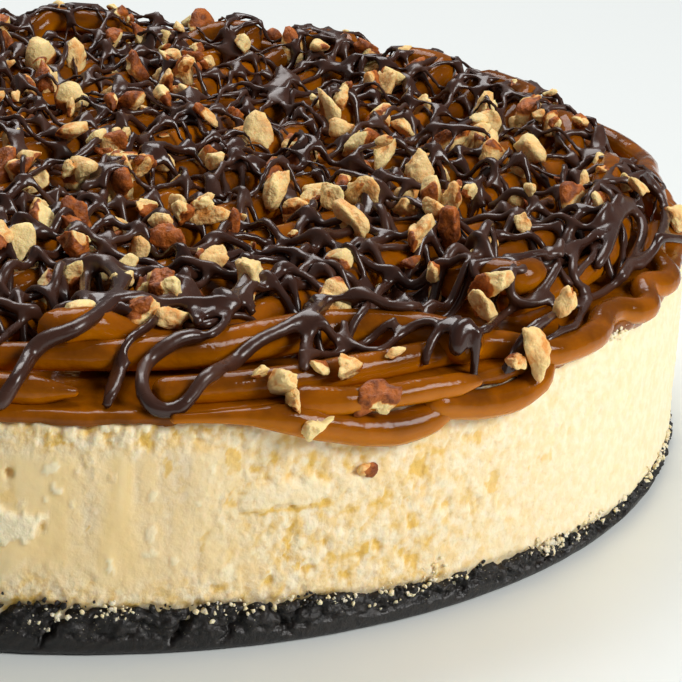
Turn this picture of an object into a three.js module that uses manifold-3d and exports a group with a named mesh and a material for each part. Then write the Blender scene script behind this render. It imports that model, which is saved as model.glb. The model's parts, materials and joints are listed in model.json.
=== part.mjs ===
// A whole baked cheesecake: a black biscuit crumb base, a pale soft cheese filling, and a topping
// of piped caramel ropes over a caramel pool, with chopped pecans and chocolate drizzle laid on it.
// Millimetres, +Z up, origin at the centre of the base's flat underside.

import * as THREE from "three";
import { mergeVertices } from "three/addons/utils/BufferGeometryUtils.js";
import Module from "manifold-3d";

// Driving sizes
const CAKE_RADIUS = 115;
const BASE_HEIGHT = 8;
const FILLING_TOP = 39.5;
const LAYER_GAP = 0.3;
const POOL_THICKNESS = 2.2;
const ROPE_RADIUS = 3.6;
const ROPE_PITCH = 12.5;
const DRIZZLE_RADIUS = 1.4;
const PECAN_RADIUS = 3.6;

// Heights worked out from them
const POOL_BOTTOM = FILLING_TOP + LAYER_GAP;
const POOL_TOP = POOL_BOTTOM + POOL_THICKNESS;

const wasm = await Module();
wasm.setup();

const radians = THREE.MathUtils.degToRad;
const smooth = THREE.MathUtils.smoothstep;

// A closed three.js geometry as a solid that can be joined and cut.
function solidOf(geometry) {
  const bare = geometry.clone();
  bare.deleteAttribute("normal");
  bare.deleteAttribute("uv");
  const merged = mergeVertices(bare, 1e-3);
  return new wasm.Manifold(
    new wasm.Mesh({
      numProp: 3,
      vertProperties: new Float32Array(merged.attributes.position.array),
      triVerts: new Uint32Array(merged.index.array),
    }),
  );
}

// A solid back as a three.js geometry.
function geometryOf(solid) {
  const mesh = solid.getMesh();
  const geometry = new THREE.BufferGeometry();
  geometry.setAttribute("position", new THREE.BufferAttribute(mesh.vertProperties, 3));
  geometry.setIndex(new THREE.BufferAttribute(mesh.triVerts, 1));
  geometry.computeVertexNormals();
  return geometry;
}

// A turned body about +Z from [radius, height] pairs, bottom first, with its points moved by
// reshape(angle, radius, height), which gives the new [radius, height].
function turned(profile, segments, reshape = (angle, ...place) => place) {
  const points = profile.map(([radius, height]) => new THREE.Vector2(radius, height));
  const geometry = new THREE.LatheGeometry(points, segments).rotateX(Math.PI / 2);
  const position = geometry.attributes.position;
  for (let i = 0; i < position.count; i++) {
    const radius = Math.hypot(position.getX(i), position.getY(i));
    const angle = Math.atan2(position.getY(i), position.getX(i));
    const [newRadius, newHeight] = reshape(angle, radius, position.getZ(i));
    position.setXYZ(i, newRadius * Math.cos(angle), newRadius * Math.sin(angle), newHeight);
  }
  return geometry;
}

// A round rope along points, with flat ends, as a solid.
function rope(points, radius, sides, stepLength) {
  const section = new THREE.Shape();
  for (let i = 0; i < sides; i++) {
    const turn = (i / sides) * 2 * Math.PI;
    const [x, y] = [radius * Math.cos(turn), radius * Math.sin(turn)];
    if (i === 0) section.moveTo(x, y);
    else section.lineTo(x, y);
  }
  section.closePath();
  const path = new THREE.CatmullRomCurve3(points.map((p) => new THREE.Vector3(...p)));
  const steps = Math.max(2, Math.round(path.getLength() / stepLength));
  const geometry = new THREE.ExtrudeGeometry(section, { extrudePath: path, steps, bevelEnabled: false });
  return solidOf(geometry);
}

// The base: a disc of crumb whose rim is 9 mm high at the front left and thins to 4 mm at the
// right, because the filling comes down over it. Slanting creases run round its side. Only the
// outer RIM_BAND of it is uneven.
const CREASE_COUNT = 27;
const CREASE_DEPTH = 0.9;
const RIM_BAND = 10;
const BASE_SEGMENTS = 110;

function rimHeight(angle) {
  const turn = angle + radians(125);
  return 5.6 + 3 * Math.cos(turn) + Math.cos(2 * turn) + 0.35 * Math.sin(13 * angle);
}

function creaseDepth(angle, height) {
  const slant = 0.012 * height;
  const wave = Math.sin(CREASE_COUNT * (angle - slant) + 2 * Math.sin(3 * angle));
  return CREASE_DEPTH * Math.max(0, wave - 0.35) ** 2 * smooth(height, 0.5, 2.5);
}

function crumbBase() {
  const wall = CAKE_RADIUS;
  const profile = [[0, 0], [wall - 1.2, 0], [wall - 0.2, 0.8], [wall, 3], [wall, 5.5], [wall - 0.5, 8]];
  profile.push([wall - RIM_BAND, BASE_HEIGHT], [0, BASE_HEIGHT]);
  return turned(profile, BASE_SEGMENTS, (angle, radius, height) => {
    if (radius < wall - RIM_BAND - 0.1 || (height === 0 && radius < wall - 1)) return [radius, height];
    if (radius < wall - RIM_BAND + 0.1) return [radius, BASE_HEIGHT];
    const top = rimHeight(angle);
    const scaled = (height / BASE_HEIGHT) * top;
    return [radius - creaseDepth(angle, height), scaled];
  });
}

// The filling: soft, with a crumbly wall that is smooth where a knife ran down it, at the front left.
const FILLING_SEGMENTS = 72;

function wallRelief(angle, height) {
  const lump = Math.sin(17 * angle + 0.4 * height) * Math.sin(0.31 * height + 5 * angle);
  const pits = Math.sin(41 * angle + 1.3 * height) * Math.sin(0.9 * height - 23 * angle);
  const rough = 0.25 + 0.75 * smooth(Math.cos(angle - radians(-20)), -0.2, 0.6);
  return rough * (0.35 * lump + 0.3 * pits);
}

function cheeseFilling() {
  const wall = CAKE_RADIUS - 0.2;
  const bottom = BASE_HEIGHT + LAYER_GAP;
  const profile = [[0, bottom], [wall - RIM_BAND, bottom], [wall, bottom]];
  for (const share of [0.2, 0.4, 0.6, 0.8]) {
    profile.push([wall, bottom + share * (FILLING_TOP - bottom)]);
  }
  profile.push([wall, FILLING_TOP - 1], [wall - 1.2, FILLING_TOP], [0, FILLING_TOP]);
  return turned(profile, FILLING_SEGMENTS, (angle, radius, height) => {
    if (radius < wall - RIM_BAND + 0.1 || height >= FILLING_TOP - 1) return [radius, height];
    const low = rimHeight(angle) + LAYER_GAP;
    const share = (height - bottom) / (FILLING_TOP - 1 - bottom);
    const raised = low + share * (FILLING_TOP - 1 - low);
    return [radius + wallRelief(angle, raised) * smooth(share, -0.05, 0.15), raised];
  });
}

// The caramel pool: a thin layer that reaches the cake's rim. It is made UNDERCUT too deep, and the
// ropes' field deeper still, until the whole topping's underside is cut off flat.
const UNDERCUT = 0.6;
const POOL_SEGMENTS = 72;

function poolReach(angle) {
  return CAKE_RADIUS - 1.4 + 0.5 * Math.sin(5 * angle) + 0.4 * Math.sin(11 * angle + 1);
}

function caramelPool() {
  const [bottom, wall] = [POOL_BOTTOM - UNDERCUT, CAKE_RADIUS];
  const profile = [[0, bottom], [wall, bottom], [wall, POOL_TOP], [wall - 25, POOL_TOP], [0, POOL_TOP - 0.5]];
  return turned(profile, POOL_SEGMENTS, (angle, radius, height) => {
    return radius < wall - 1 ? [radius, height] : [poolReach(angle), height];
  });
}

// How far the caramel sags over the rim at an angle, from 0 to 1. Each sag has its middle and its
// half width in degrees, and its share of the deepest.
const SAGS = [[-64, 24, 1], [-33, 16, 0.8], [112, 24, 0.8], [197, 18, 0.7]];

function sag(angle) {
  let deepest = 0;
  for (const [middle, width, depth] of SAGS) {
    const away = Math.atan2(Math.sin(angle - radians(middle)), Math.cos(angle - radians(middle)));
    deepest = Math.max(deepest, depth * Math.exp(-((away / radians(width)) ** 4)));
  }
  return deepest;
}

// Two ropes piped round the rim. The outer one sags over it, and the inner one lies higher.
function outerRope(angle) {
  const sway = 0.7 * Math.sin(3 * angle) + 0.4 * Math.sin(8 * angle + 1);
  return [109.5 + sway + 4.3 * sag(angle), POOL_TOP + 1.2 - 3.2 * sag(angle)];
}

function innerRope(angle) {
  const sway = 1.2 * Math.sin(3 * angle + 2.6) + 0.5 * Math.sin(8 * angle);
  return [100.5 + sway, POOL_TOP + 2.5 + 0.4 * Math.sin(5 * angle)];
}

// A rim rope's two half turns, which overlap by a degree.
const HALF_TURN = 181;
const HALF_TURN_POINTS = 30;

function rimRopePaths(place) {
  return [-92, 88].map((start) => {
    const points = [];
    for (let degrees = start; degrees <= start + HALF_TURN; degrees += HALF_TURN / HALF_TURN_POINTS) {
      const [radius, height] = place(radians(degrees));
      points.push([radius * Math.cos(radians(degrees)), radius * Math.sin(radians(degrees)), height]);
    }
    return points;
  });
}

// Ropes piped to and fro side by side across the cake at ROPE_ANGLE, sunk in the pool.
const ROPE_ANGLE = radians(46);
const PASS_COUNT = 15;
const FIELD_RADIUS = 100;
const FIELD_STEPS = 8;
const ROPE_HEIGHT = POOL_TOP + 2.2;
const VALLEY_HEIGHT = POOL_TOP + 0.3;

function ropeSway(index, along) {
  return 1.3 * Math.sin(along / 19 + 1.7 * index) + 0.6 * Math.sin(along / 8 + index);
}

// A point given along and across the direction of angle, as x and y.
function crossing(angle, along, across) {
  const [cosine, sine] = [Math.cos(angle), Math.sin(angle)];
  return [along * cosine - across * sine, along * sine + across * cosine];
}

// The field of ropes as one wavy slab: their section in outline, drawn out along them, with each
// rope then swayed by its own amount and the valleys between them left straight.
function ropeField() {
  const first = -((PASS_COUNT - 1) / 2) * ROPE_PITCH;
  const bottom = POOL_BOTTOM - 2 * UNDERCUT;
  const section = new THREE.Shape();
  section.moveTo(first - ROPE_PITCH / 2, bottom);
  section.lineTo(-first + ROPE_PITCH / 2, bottom);
  for (let index = PASS_COUNT - 1; index >= 0; index--) {
    const middle = first + index * ROPE_PITCH;
    section.lineTo(middle + ROPE_PITCH / 2, VALLEY_HEIGHT);
    for (const turn of [0, 60, 120, 180].map(radians)) {
      section.lineTo(middle + ROPE_RADIUS * Math.cos(turn), ROPE_HEIGHT + ROPE_RADIUS * Math.sin(turn));
    }
  }
  section.lineTo(first - ROPE_PITCH / 2, VALLEY_HEIGHT);
  section.closePath();
  const length = 2 * FIELD_RADIUS + 4;
  const options = { depth: length, steps: FIELD_STEPS, bevelEnabled: false };
  const geometry = new THREE.ExtrudeGeometry(section, options);
  const position = geometry.attributes.position;
  for (let i = 0; i < position.count; i++) {
    const [across, height] = [position.getX(i), position.getY(i)];
    const along = position.getZ(i) - length / 2;
    const index = Math.round(across / ROPE_PITCH + (PASS_COUNT - 1) / 2);
    const swayed = height > ROPE_HEIGHT - 0.1 ? across + ropeSway(index, along) : across;
    const [x, y] = crossing(ROPE_ANGLE, along, swayed);
    position.setXYZ(i, x, y, height);
  }
  const disc = [[0, 0], [FIELD_RADIUS, 0], [FIELD_RADIUS, 60], [0, 60]];
  return solidOf(geometry).intersect(solidOf(turned(disc, POOL_SEGMENTS)));
}

// The height of the ropes' upper side at x, y.
function surfaceHeight(x, y) {
  const angle = Math.atan2(y, x);
  const radius = Math.hypot(x, y);
  const along = x * Math.cos(ROPE_ANGLE) + y * Math.sin(ROPE_ANGLE);
  const across = y * Math.cos(ROPE_ANGLE) - x * Math.sin(ROPE_ANGLE);
  const ropes = [outerRope(angle), innerRope(angle)].map(([middle, height]) => [radius - middle, height]);
  if (radius < FIELD_RADIUS) {
    const index = Math.round(across / ROPE_PITCH + (PASS_COUNT - 1) / 2);
    const middle = (index - (PASS_COUNT - 1) / 2) * ROPE_PITCH + ropeSway(index, along);
    ropes.push([across - middle, ROPE_HEIGHT]);
  }
  let highest = radius < poolReach(angle) ? POOL_TOP : POOL_BOTTOM - 4;
  for (const [away, height] of ropes) {
    const rise = Math.sqrt(Math.max(0, ROPE_RADIUS ** 2 - away ** 2));
    if (rise > 0) highest = Math.max(highest, height + rise);
  }
  return highest;
}

// Chocolate drizzle: passes at two angles, resting on the tops of the ropes and sagging between.
const DRIZZLES = [
  { angle: radians(104), pitch: 42, reach: 110, phase: 0.4 },
  { angle: radians(62), pitch: 48, reach: 112, phase: 2.1 },
];
const DRIZZLE_STEP = 7;
const SAG_PER_STEP = 0.8;
const BRIDGING_PASSES = 4;

function drizzlePaths({ angle, pitch, reach, phase }) {
  const last = Math.floor((2 * reach - 20) / pitch);
  const paths = [];
  for (let index = 0; index <= last; index++) {
    const offset = (index - last / 2) * pitch;
    const half = Math.sqrt(reach ** 2 - offset ** 2);
    const steps = Math.round((2 * half) / DRIZZLE_STEP);
    const points = [];
    for (let step = 0; step <= steps; step++) {
      const along = half * ((2 * step) / steps - 1);
      const sway = 3 * Math.sin(along / 23 + phase + 2.3 * index) + 1.2 * Math.sin(along / 9 + index);
      const [x, y] = crossing(angle, along, offset + sway);
      points.push([x, y, surfaceHeight(x, y) + 0.9 * DRIZZLE_RADIUS]);
    }
    for (let pass = 0; pass < BRIDGING_PASSES; pass++) {
      for (let i = 1; i < points.length - 1; i++) {
        const bridge = (points[i - 1][2] + points[i + 1][2]) / 2 - SAG_PER_STEP;
        points[i][2] = Math.max(points[i][2], bridge);
      }
    }
    paths.push(points);
  }
  return paths;
}

// Chopped pecans, spread evenly by turns of the golden angle, each sunk a little in what it lies on.
const PECAN_COUNT = 30;
const PECAN_REACH = 106;
const GOLDEN_ANGLE = Math.PI * (3 - Math.sqrt(5));

function pecans() {
  const pieces = [];
  for (let index = 0; index < PECAN_COUNT; index++) {
    const radius = PECAN_REACH * Math.sqrt((index + 0.5) / PECAN_COUNT);
    const x = radius * Math.cos(index * GOLDEN_ANGLE);
    const y = radius * Math.sin(index * GOLDEN_ANGLE);
    const size = PECAN_RADIUS * (0.8 + 0.35 * Math.sin(4.1 * index) ** 2);
    const geometry = new THREE.IcosahedronGeometry(size, 0);
    geometry.scale(1.25, 0.9, 0.8);
    geometry.rotateZ(2.4 * index);
    geometry.rotateX(0.6 * Math.sin(index));
    geometry.translate(x, y, surfaceHeight(x, y) + 0.35 * size);
    pieces.push(solidOf(geometry));
  }
  return pieces;
}

// The whole topping as one body, cut clear of the filling under it. Loose scraps are dropped.
function caramelTopping() {
  const solids = [solidOf(caramelPool()), ropeField(), ...pecans()];
  for (const points of [...rimRopePaths(outerRope), ...rimRopePaths(innerRope)]) {
    solids.push(rope(points, ROPE_RADIUS, 6, 16));
  }
  for (const points of DRIZZLES.flatMap(drizzlePaths)) {
    solids.push(rope(points, DRIZZLE_RADIUS, 3, DRIZZLE_STEP));
  }
  const wall = CAKE_RADIUS + 0.4;
  const cake = [[0, 0], [wall, 0], [wall, FILLING_TOP - 0.9], [wall - 1.3, POOL_BOTTOM], [0, POOL_BOTTOM]];
  const clearance = solidOf(turned(cake, 1.5 * POOL_SEGMENTS));
  const pieces = wasm.Manifold.union(solids).subtract(clearance).decompose();
  pieces.sort((a, b) => b.volume() - a.volume());
  return geometryOf(pieces[0]);
}

const crumbFinish = new THREE.MeshStandardMaterial({ color: 0x1f1b1a, roughness: 0.85, metalness: 0 });
const fillingFinish = new THREE.MeshStandardMaterial({ color: 0xf3e2b4, roughness: 0.75, metalness: 0 });
const caramelFinish = new THREE.MeshStandardMaterial({ color: 0xa45a12, roughness: 0.2, metalness: 0 });

function named(name, geometry, material) {
  const mesh = new THREE.Mesh(geometry, material);
  mesh.name = name;
  return mesh;
}

const cheesecake = new THREE.Group();
cheesecake.add(named("crumb_base", crumbBase(), crumbFinish));
cheesecake.add(named("cheese_filling", cheeseFilling(), fillingFinish));
cheesecake.add(named("caramel_topping", caramelTopping(), caramelFinish));

export default cheesecake;
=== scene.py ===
"""The looks of a whole baked cheesecake: a black crumb base, a pale crumbly filling, and a topping
of glossy caramel ropes under chopped pecans and chocolate drizzle.

Lengths are in millimetres until a mesh is made, and metres in the scene. Angles run from +X towards +Y.
"""

import json
import logging
import math
from dataclasses import dataclass, field
from enum import Enum
from functools import partial
from typing import Callable, Iterable, Sequence

import bmesh
import bpy
import numpy as np
from mathutils import Matrix, Vector
from mathutils.bvhtree import BVHTree

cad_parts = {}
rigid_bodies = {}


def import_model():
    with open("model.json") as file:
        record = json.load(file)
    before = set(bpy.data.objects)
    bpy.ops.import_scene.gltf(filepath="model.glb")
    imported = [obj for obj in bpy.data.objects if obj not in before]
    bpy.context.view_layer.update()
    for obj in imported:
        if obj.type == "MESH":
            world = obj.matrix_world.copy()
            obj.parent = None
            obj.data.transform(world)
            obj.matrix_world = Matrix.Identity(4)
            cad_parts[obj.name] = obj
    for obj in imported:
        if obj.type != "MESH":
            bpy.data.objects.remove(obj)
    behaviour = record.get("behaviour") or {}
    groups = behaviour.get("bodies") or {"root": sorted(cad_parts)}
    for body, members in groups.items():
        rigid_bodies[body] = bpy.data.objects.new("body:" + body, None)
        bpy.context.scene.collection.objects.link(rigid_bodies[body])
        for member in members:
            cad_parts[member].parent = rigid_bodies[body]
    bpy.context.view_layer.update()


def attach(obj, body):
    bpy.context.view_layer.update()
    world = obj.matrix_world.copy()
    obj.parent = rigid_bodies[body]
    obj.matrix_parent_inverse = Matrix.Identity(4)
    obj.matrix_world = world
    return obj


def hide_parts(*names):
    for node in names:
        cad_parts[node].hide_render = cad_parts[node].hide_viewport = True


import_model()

log = logging.getLogger("cheesecake")
logging.basicConfig(level=logging.INFO, format="%(message)s")

# Driving sizes of the cake, in millimetres
CAKE_RADIUS = 115.0
BASE_HEIGHT = 8.0
FILLING_TOP = 39.5
POOL_TOP = 41.4
ROPE_PITCH = 12.5
TOPPING_TOP = 52.6
# The direction of the ropes piped to and fro
ROPE_ANGLE = math.radians(46)
# A millimetre in metres
METRES = 0.001

Array = np.ndarray
Piece = bpy.types.Object
Socket = bpy.types.NodeSocket
Colour = tuple[float, float, float, float]
Pixels = tuple[tuple[float, float], ...]


# Numbers that look random but are the same in each run


def cell_value(cells: Array, seed: int) -> Array:
    """One number from 0 to 1 for each lattice cell: its coordinates times large primes, scrambled.

    Args:
        cells: whole numbers, the last axis holding three coordinates.
        seed: which set of numbers to give.
    Returns:
        The numbers, without the last axis.
    """
    whole = cells.astype(np.int64).astype(np.uint32)
    mixed = whole[..., 0] * np.uint32(374761393) ^ whole[..., 1] * np.uint32(668265263)
    mixed ^= whole[..., 2] * np.uint32(2246822519) ^ np.uint32(seed * 2654435761 % 2**32)
    mixed = (mixed ^ (mixed >> np.uint32(15))) * np.uint32(2246822519)
    mixed = (mixed ^ (mixed >> np.uint32(13))) * np.uint32(3266489917)
    return (mixed ^ (mixed >> np.uint32(16))) / 4294967295.0


def soft_noise(points: Array, size: float, seed: int) -> Array:
    """Smooth noise from -1 to 1: lattice values blended with a cubic ease along each axis.

    Args:
        points: places, the last axis holding x, y and z.
        size: the width of a lattice cell.
        seed: which noise to give.
    Returns:
        The noise at each place.
    """
    scaled = points / size
    corner = np.floor(scaled)
    share = scaled - corner
    share = share * share * (3 - 2 * share)
    total = np.zeros(points.shape[:-1])
    for bits in range(8):
        step = np.array([bits & 1, bits >> 1 & 1, bits >> 2 & 1])
        weight = np.prod(np.where(step == 1, share, 1 - share), axis=-1)
        total += weight * cell_value(corner + step, seed)
    return 2 * total - 1


def layered_noise(points: Array, size: float, layers: int, seed: int, keep: float = 0.5) -> Array:
    """Soft noise plus ever finer noise, each layer half as wide and keep times as strong.

    Args:
        points: places, the last axis holding x, y and z.
        size: the width of the coarsest cells.
        layers: how many layers are summed.
        seed: which noise to give.
        keep: each layer's strength against the one before.
    Returns:
        The sum over its greatest possible value, so from -1 to 1.
    """
    strengths = keep ** np.arange(layers)
    parts = [s * soft_noise(points, size / 2**i, seed + i) for i, s in enumerate(strengths)]
    return sum(parts) / strengths.sum()


def grain_cells(points: Array, size: float, seed: int) -> tuple[Array, Array]:
    """The distance to the nearest of the points strewn one to a lattice cell, over the cell's width.

    Args:
        points: places, the last axis holding x, y and z.
        size: the width of a lattice cell.
        seed: which strewing to use.
    Returns:
        The distance, and a number from 0 to 1 that belongs to the nearest point.
    """
    scaled = points / size
    corner = np.floor(scaled)
    nearest = np.full(points.shape[:-1], 9.0)
    owner = np.zeros(points.shape[:-1])
    for index in range(27):
        cell = corner + np.array([index % 3 - 1, index // 3 % 3 - 1, index // 9 - 1])
        spot = cell + np.stack([cell_value(cell, seed + k) for k in range(3)], axis=-1)
        away = np.linalg.norm(scaled - spot, axis=-1)
        closer = away < nearest
        nearest = np.where(closer, away, nearest)
        owner = np.where(closer, cell_value(cell, seed + 3), owner)
    return nearest, owner


def ease(values: Array, low: float, high: float) -> Array:
    """From 0 at low to 1 at high along a cubic ease."""
    share = np.clip((values - low) / (high - low), 0, 1)
    return share * share * (3 - 2 * share)


def bump(values: Array, middle: float, width: float) -> Array:
    """A bell of height 1 about middle, which has fallen to 1/e at width from it."""
    return np.exp(-(((values - middle) / width) ** 2))


def turn_between(angles: Array, middle: float) -> Array:
    """Angles measured from middle, brought between minus and plus half a turn."""
    return (angles - middle + math.pi) % (2 * math.pi) - math.pi


def flat_bell(angles: Array, middle: float, half: float) -> Array:
    """A flat-topped bell of height 1 about middle, fallen to 1/e at half from it, both in degrees."""
    return np.exp(-((turn_between(angles, math.radians(middle)) / math.radians(half)) ** 4))


# Meshes


def placed(name: str, data: bpy.types.ID) -> Piece:
    """A new object of that name in the scene, which holds the data."""
    made = bpy.data.objects.new(name, data)
    bpy.context.scene.collection.objects.link(made)
    return made


@dataclass
class Shell:
    """Points and faces on their way to a mesh, in millimetres.

    Each entry of faces holds faces with one number of corners. The values are one number for each
    point, under the name that a material reads.
    """

    points: Array
    faces: list[Array]
    values: dict[str, Array]

    @staticmethod
    def joined(shells: Sequence["Shell"]) -> "Shell":
        """All shells as one, with each one's face numbers moved on by the points before it."""
        starts = np.cumsum([0] + [len(shell.points) for shell in shells])
        faces = [f + start for shell, start in zip(shells, starts) for f in shell.faces]
        names = shells[0].values.keys()
        values = {name: np.concatenate([shell.values[name] for shell in shells]) for name in names}
        return Shell(np.concatenate([shell.points for shell in shells]), faces, values)

    def triangles(self) -> Array:
        """Every face as triangles: a quad is cut from its first corner to its third."""
        cut = [f if f.shape[1] == 3 else f[:, [0, 1, 2, 0, 2, 3]].reshape(-1, 3) for f in self.faces]
        return np.concatenate(cut)

    def piece(self, name: str, finish: "Finish", *replaced: str) -> Piece:
        """The shell as a smooth, dressed mesh object that rides on the cake.

        Args:
            name: the object's name.
            finish: what it is dressed in.
            replaced: the solids that the piece stands for.
        Returns:
            The object, at the origin.
        """
        mesh = bpy.data.meshes.new(name)
        mesh.vertices.add(len(self.points))
        mesh.vertices.foreach_set("co", (self.points * METRES).astype(np.float32).ravel())
        corners = np.concatenate([f.ravel() for f in self.faces]).astype(np.int32)
        sizes = np.concatenate([np.full(len(f), f.shape[1]) for f in self.faces])
        starts = np.concatenate([[0], np.cumsum(sizes)[:-1]]).astype(np.int32)
        mesh.loops.add(len(corners))
        mesh.loops.foreach_set("vertex_index", corners)
        mesh.polygons.add(len(sizes))
        mesh.polygons.foreach_set("loop_start", starts)
        mesh.update(calc_edges=True)
        mesh.polygons.foreach_set("use_smooth", np.ones(len(sizes), bool))
        for key, numbers in self.values.items():
            layer = mesh.attributes.new(key, "FLOAT", "POINT")
            layer.data.foreach_set("value", np.asarray(numbers, np.float32))
        piece = placed(name, mesh)
        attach(piece, "root")
        finish.dress(piece)
        if replaced:
            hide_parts(*replaced)
        log.info("%s: %d triangles", name, len(self.triangles()))
        return piece


def ring_shell(rings: Array, tips: Array, values: dict[str, Array]) -> Shell:
    """A closed skin over rings of points, with a tip at either end.

    The quads join ring i to ring i + 1 and column j to column j + 1, with the last column joined
    to the first, and triangles join the first and the last ring to the tips.

    Args:
        rings: points in rings and columns, the last axis holding x, y and z.
        tips: the two end points, one a row.
        values: for each name, one number a point, with the tips' numbers last.
    Returns:
        The shell.
    """
    columns = rings.shape[1]
    index = np.arange(rings.shape[0] * columns).reshape(-1, columns)
    after = np.roll(index, -1, axis=1)
    quads = np.stack([index[:-1], after[:-1], after[1:], index[1:]], axis=-1).reshape(-1, 4)
    first = np.stack([np.full(columns, index.size), after[0], index[0]], axis=-1)
    last = np.stack([np.full(columns, index.size + 1), index[-1], after[-1]], axis=-1)
    return Shell(np.concatenate([rings.reshape(-1, 3), tips]), [quads, np.concatenate([first, last])], values)


def turned_shell(rings: Array, values: dict[str, Array]) -> Shell:
    """A closed turned skin, whose tips are on the axis at the mean heights of its end rings.

    Args:
        rings: points in rings and columns, from the underside's middle outwards, up and back.
        values: for each name, one number a point, in rings and columns.
    Returns:
        The shell.
    """
    tips = np.array([[0, 0, rings[0, :, 2].mean()], [0, 0, rings[-1, :, 2].mean()]])
    flat = {k: np.concatenate([v.ravel(), [v[0].mean(), v[-1].mean()]]) for k, v in values.items()}
    return ring_shell(rings, tips, flat)


def smoothed(line: Array, width: float) -> Array:
    """A line of points averaged with a bell of that width in points, its ends held still.

    Beyond each end the line goes on as its own reflection in the end, or stays there if it is short.

    Args:
        line: points in order, one a row.
        width: the bell's spread, in points.
    Returns:
        The smoothed line.
    """
    reach = max(1, int(3 * width))
    weights = np.exp(-0.5 * (np.arange(-reach, reach + 1) / width) ** 2)
    weights /= weights.sum()
    before = np.repeat(line[:1], reach, axis=0)
    if len(line) > reach:
        before = 2 * line[0] - line[reach:0:-1]
    after = np.repeat(line[-1:], reach, axis=0)
    if len(line) > reach + 1:
        after = 2 * line[-1] - line[-2:-reach - 2:-1]
    padded = np.concatenate([before, line, after])
    return np.stack([np.convolve(column, weights, "valid") for column in padded.T], axis=-1)


def evenly(line: Array, step: float, along: int = 2) -> Array:
    """A line of points sampled again with an even step.

    Args:
        line: points in order, one a row.
        step: the new distance between points.
        along: how many of the first coordinates count as distance.
    Returns:
        The new points, from the first one to the last.
    """
    gaps = np.linalg.norm(np.diff(line[:, :along], axis=0), axis=1)
    run = np.concatenate([[0], np.cumsum(gaps)])
    wanted = np.linspace(0, run[-1], max(3, int(round(run[-1] / step)) + 1))
    return np.stack([np.interp(wanted, run, column) for column in line.T], axis=-1)


def turned(plan: Array, angle: float) -> Array:
    """Places seen from above, one pair a row, turned about the axis by an angle."""
    c, s = math.cos(angle), math.sin(angle)
    return plan @ np.array([[c, s], [-s, c]])


def swept_shell(line: Array, radii: Array, sides: int, step: float, flat: float = 1.0) -> Shell:
    """A round strand along a line, with round ends.

    A ring lies square to the line. Its sideways axis is level, square to the line as seen from
    above, and its other axis is square to both. The radius at a distance d from an end of radius r
    is scaled by the root of 1 - (1 - d / r) squared, which rounds the end off.

    Args:
        line: the middle line's points, one a row.
        radii: the strand's radius at each of them.
        sides: how many sides a ring has.
        step: the distance between rings.
        flat: the strand's height over its width.
    Returns:
        The shell, with the value under: 0 along the strand's top and 1 along its underside.
    """
    gaps = np.linalg.norm(np.diff(line, axis=0), axis=1)
    run = np.concatenate([[0], np.cumsum(gaps)])
    length = run[-1]
    round_off = np.radians([20, 40, 60, 80])
    tip = 1 - np.cos(round_off)
    starts = tip * min(radii[0], length / 3)
    ends = length - tip[::-1] * min(radii[-1], length / 3)
    count = max(2, int((ends[0] - starts[-1]) / step))
    wanted = np.concatenate([starts, np.linspace(starts[-1], ends[0], count + 1)[1:-1], ends])
    middle = np.stack([np.interp(wanted, run, column) for column in line.T], axis=-1)
    radius = np.interp(wanted, run, radii)
    radius[:len(tip)] *= np.sin(round_off)
    radius[-len(tip):] *= np.sin(round_off)[::-1]
    ahead = np.gradient(middle, axis=0)
    ahead /= np.linalg.norm(ahead, axis=1, keepdims=True) + 1e-12
    level = np.stack([-ahead[:, 1], ahead[:, 0], np.zeros(len(ahead))], axis=-1)
    level /= np.linalg.norm(level, axis=1, keepdims=True) + 1e-12
    upward = np.cross(ahead, level)
    turns = np.arange(sides) / sides * 2 * math.pi
    sideways = np.cos(turns)[None, :, None] * level[:, None]
    ring = sideways + flat * np.sin(turns)[None, :, None] * upward[:, None]
    rings = middle[:, None] + radius[:, None, None] * ring
    under = np.concatenate([np.tile(0.5 - 0.5 * np.sin(turns), len(middle)), [0.5, 0.5]])
    return ring_shell(rings, line[[0, -1]], {"under": under})


def reworked(
    points: Array, faces: Array, kind: str, settings: dict[str, object]
) -> tuple[Array, Array, Array]:
    """A closed mesh after one modifier, all of whose faces then have as many corners.

    Args:
        points: the mesh's points, in millimetres.
        faces: the point numbers of its faces, one a row.
        kind: the modifier's type.
        settings: its properties.
    Returns:
        The new points, faces and edges.
    """
    mesh = bpy.data.meshes.new("reworking")
    mesh.from_pydata(points * METRES, [], faces.tolist())
    work = placed("reworking", mesh)
    modifier = work.modifiers.new("step", kind)
    for key, value in settings.items():
        setattr(modifier, key, value)
    done = work.evaluated_get(bpy.context.evaluated_depsgraph_get())
    skin = done.to_mesh()
    places = np.empty(3 * len(skin.vertices), np.float32)
    skin.vertices.foreach_get("co", places)
    corners = np.empty(len(skin.loops), np.int32)
    skin.loops.foreach_get("vertex_index", corners)
    edges = np.empty(2 * len(skin.edges), np.int32)
    skin.edges.foreach_get("vertices", edges)
    corners = corners.reshape(len(skin.polygons), -1)
    done.to_mesh_clear()
    bpy.data.objects.remove(work)
    bpy.data.meshes.remove(mesh)
    return places.reshape(-1, 3) / METRES, corners, edges.reshape(-1, 2)


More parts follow.
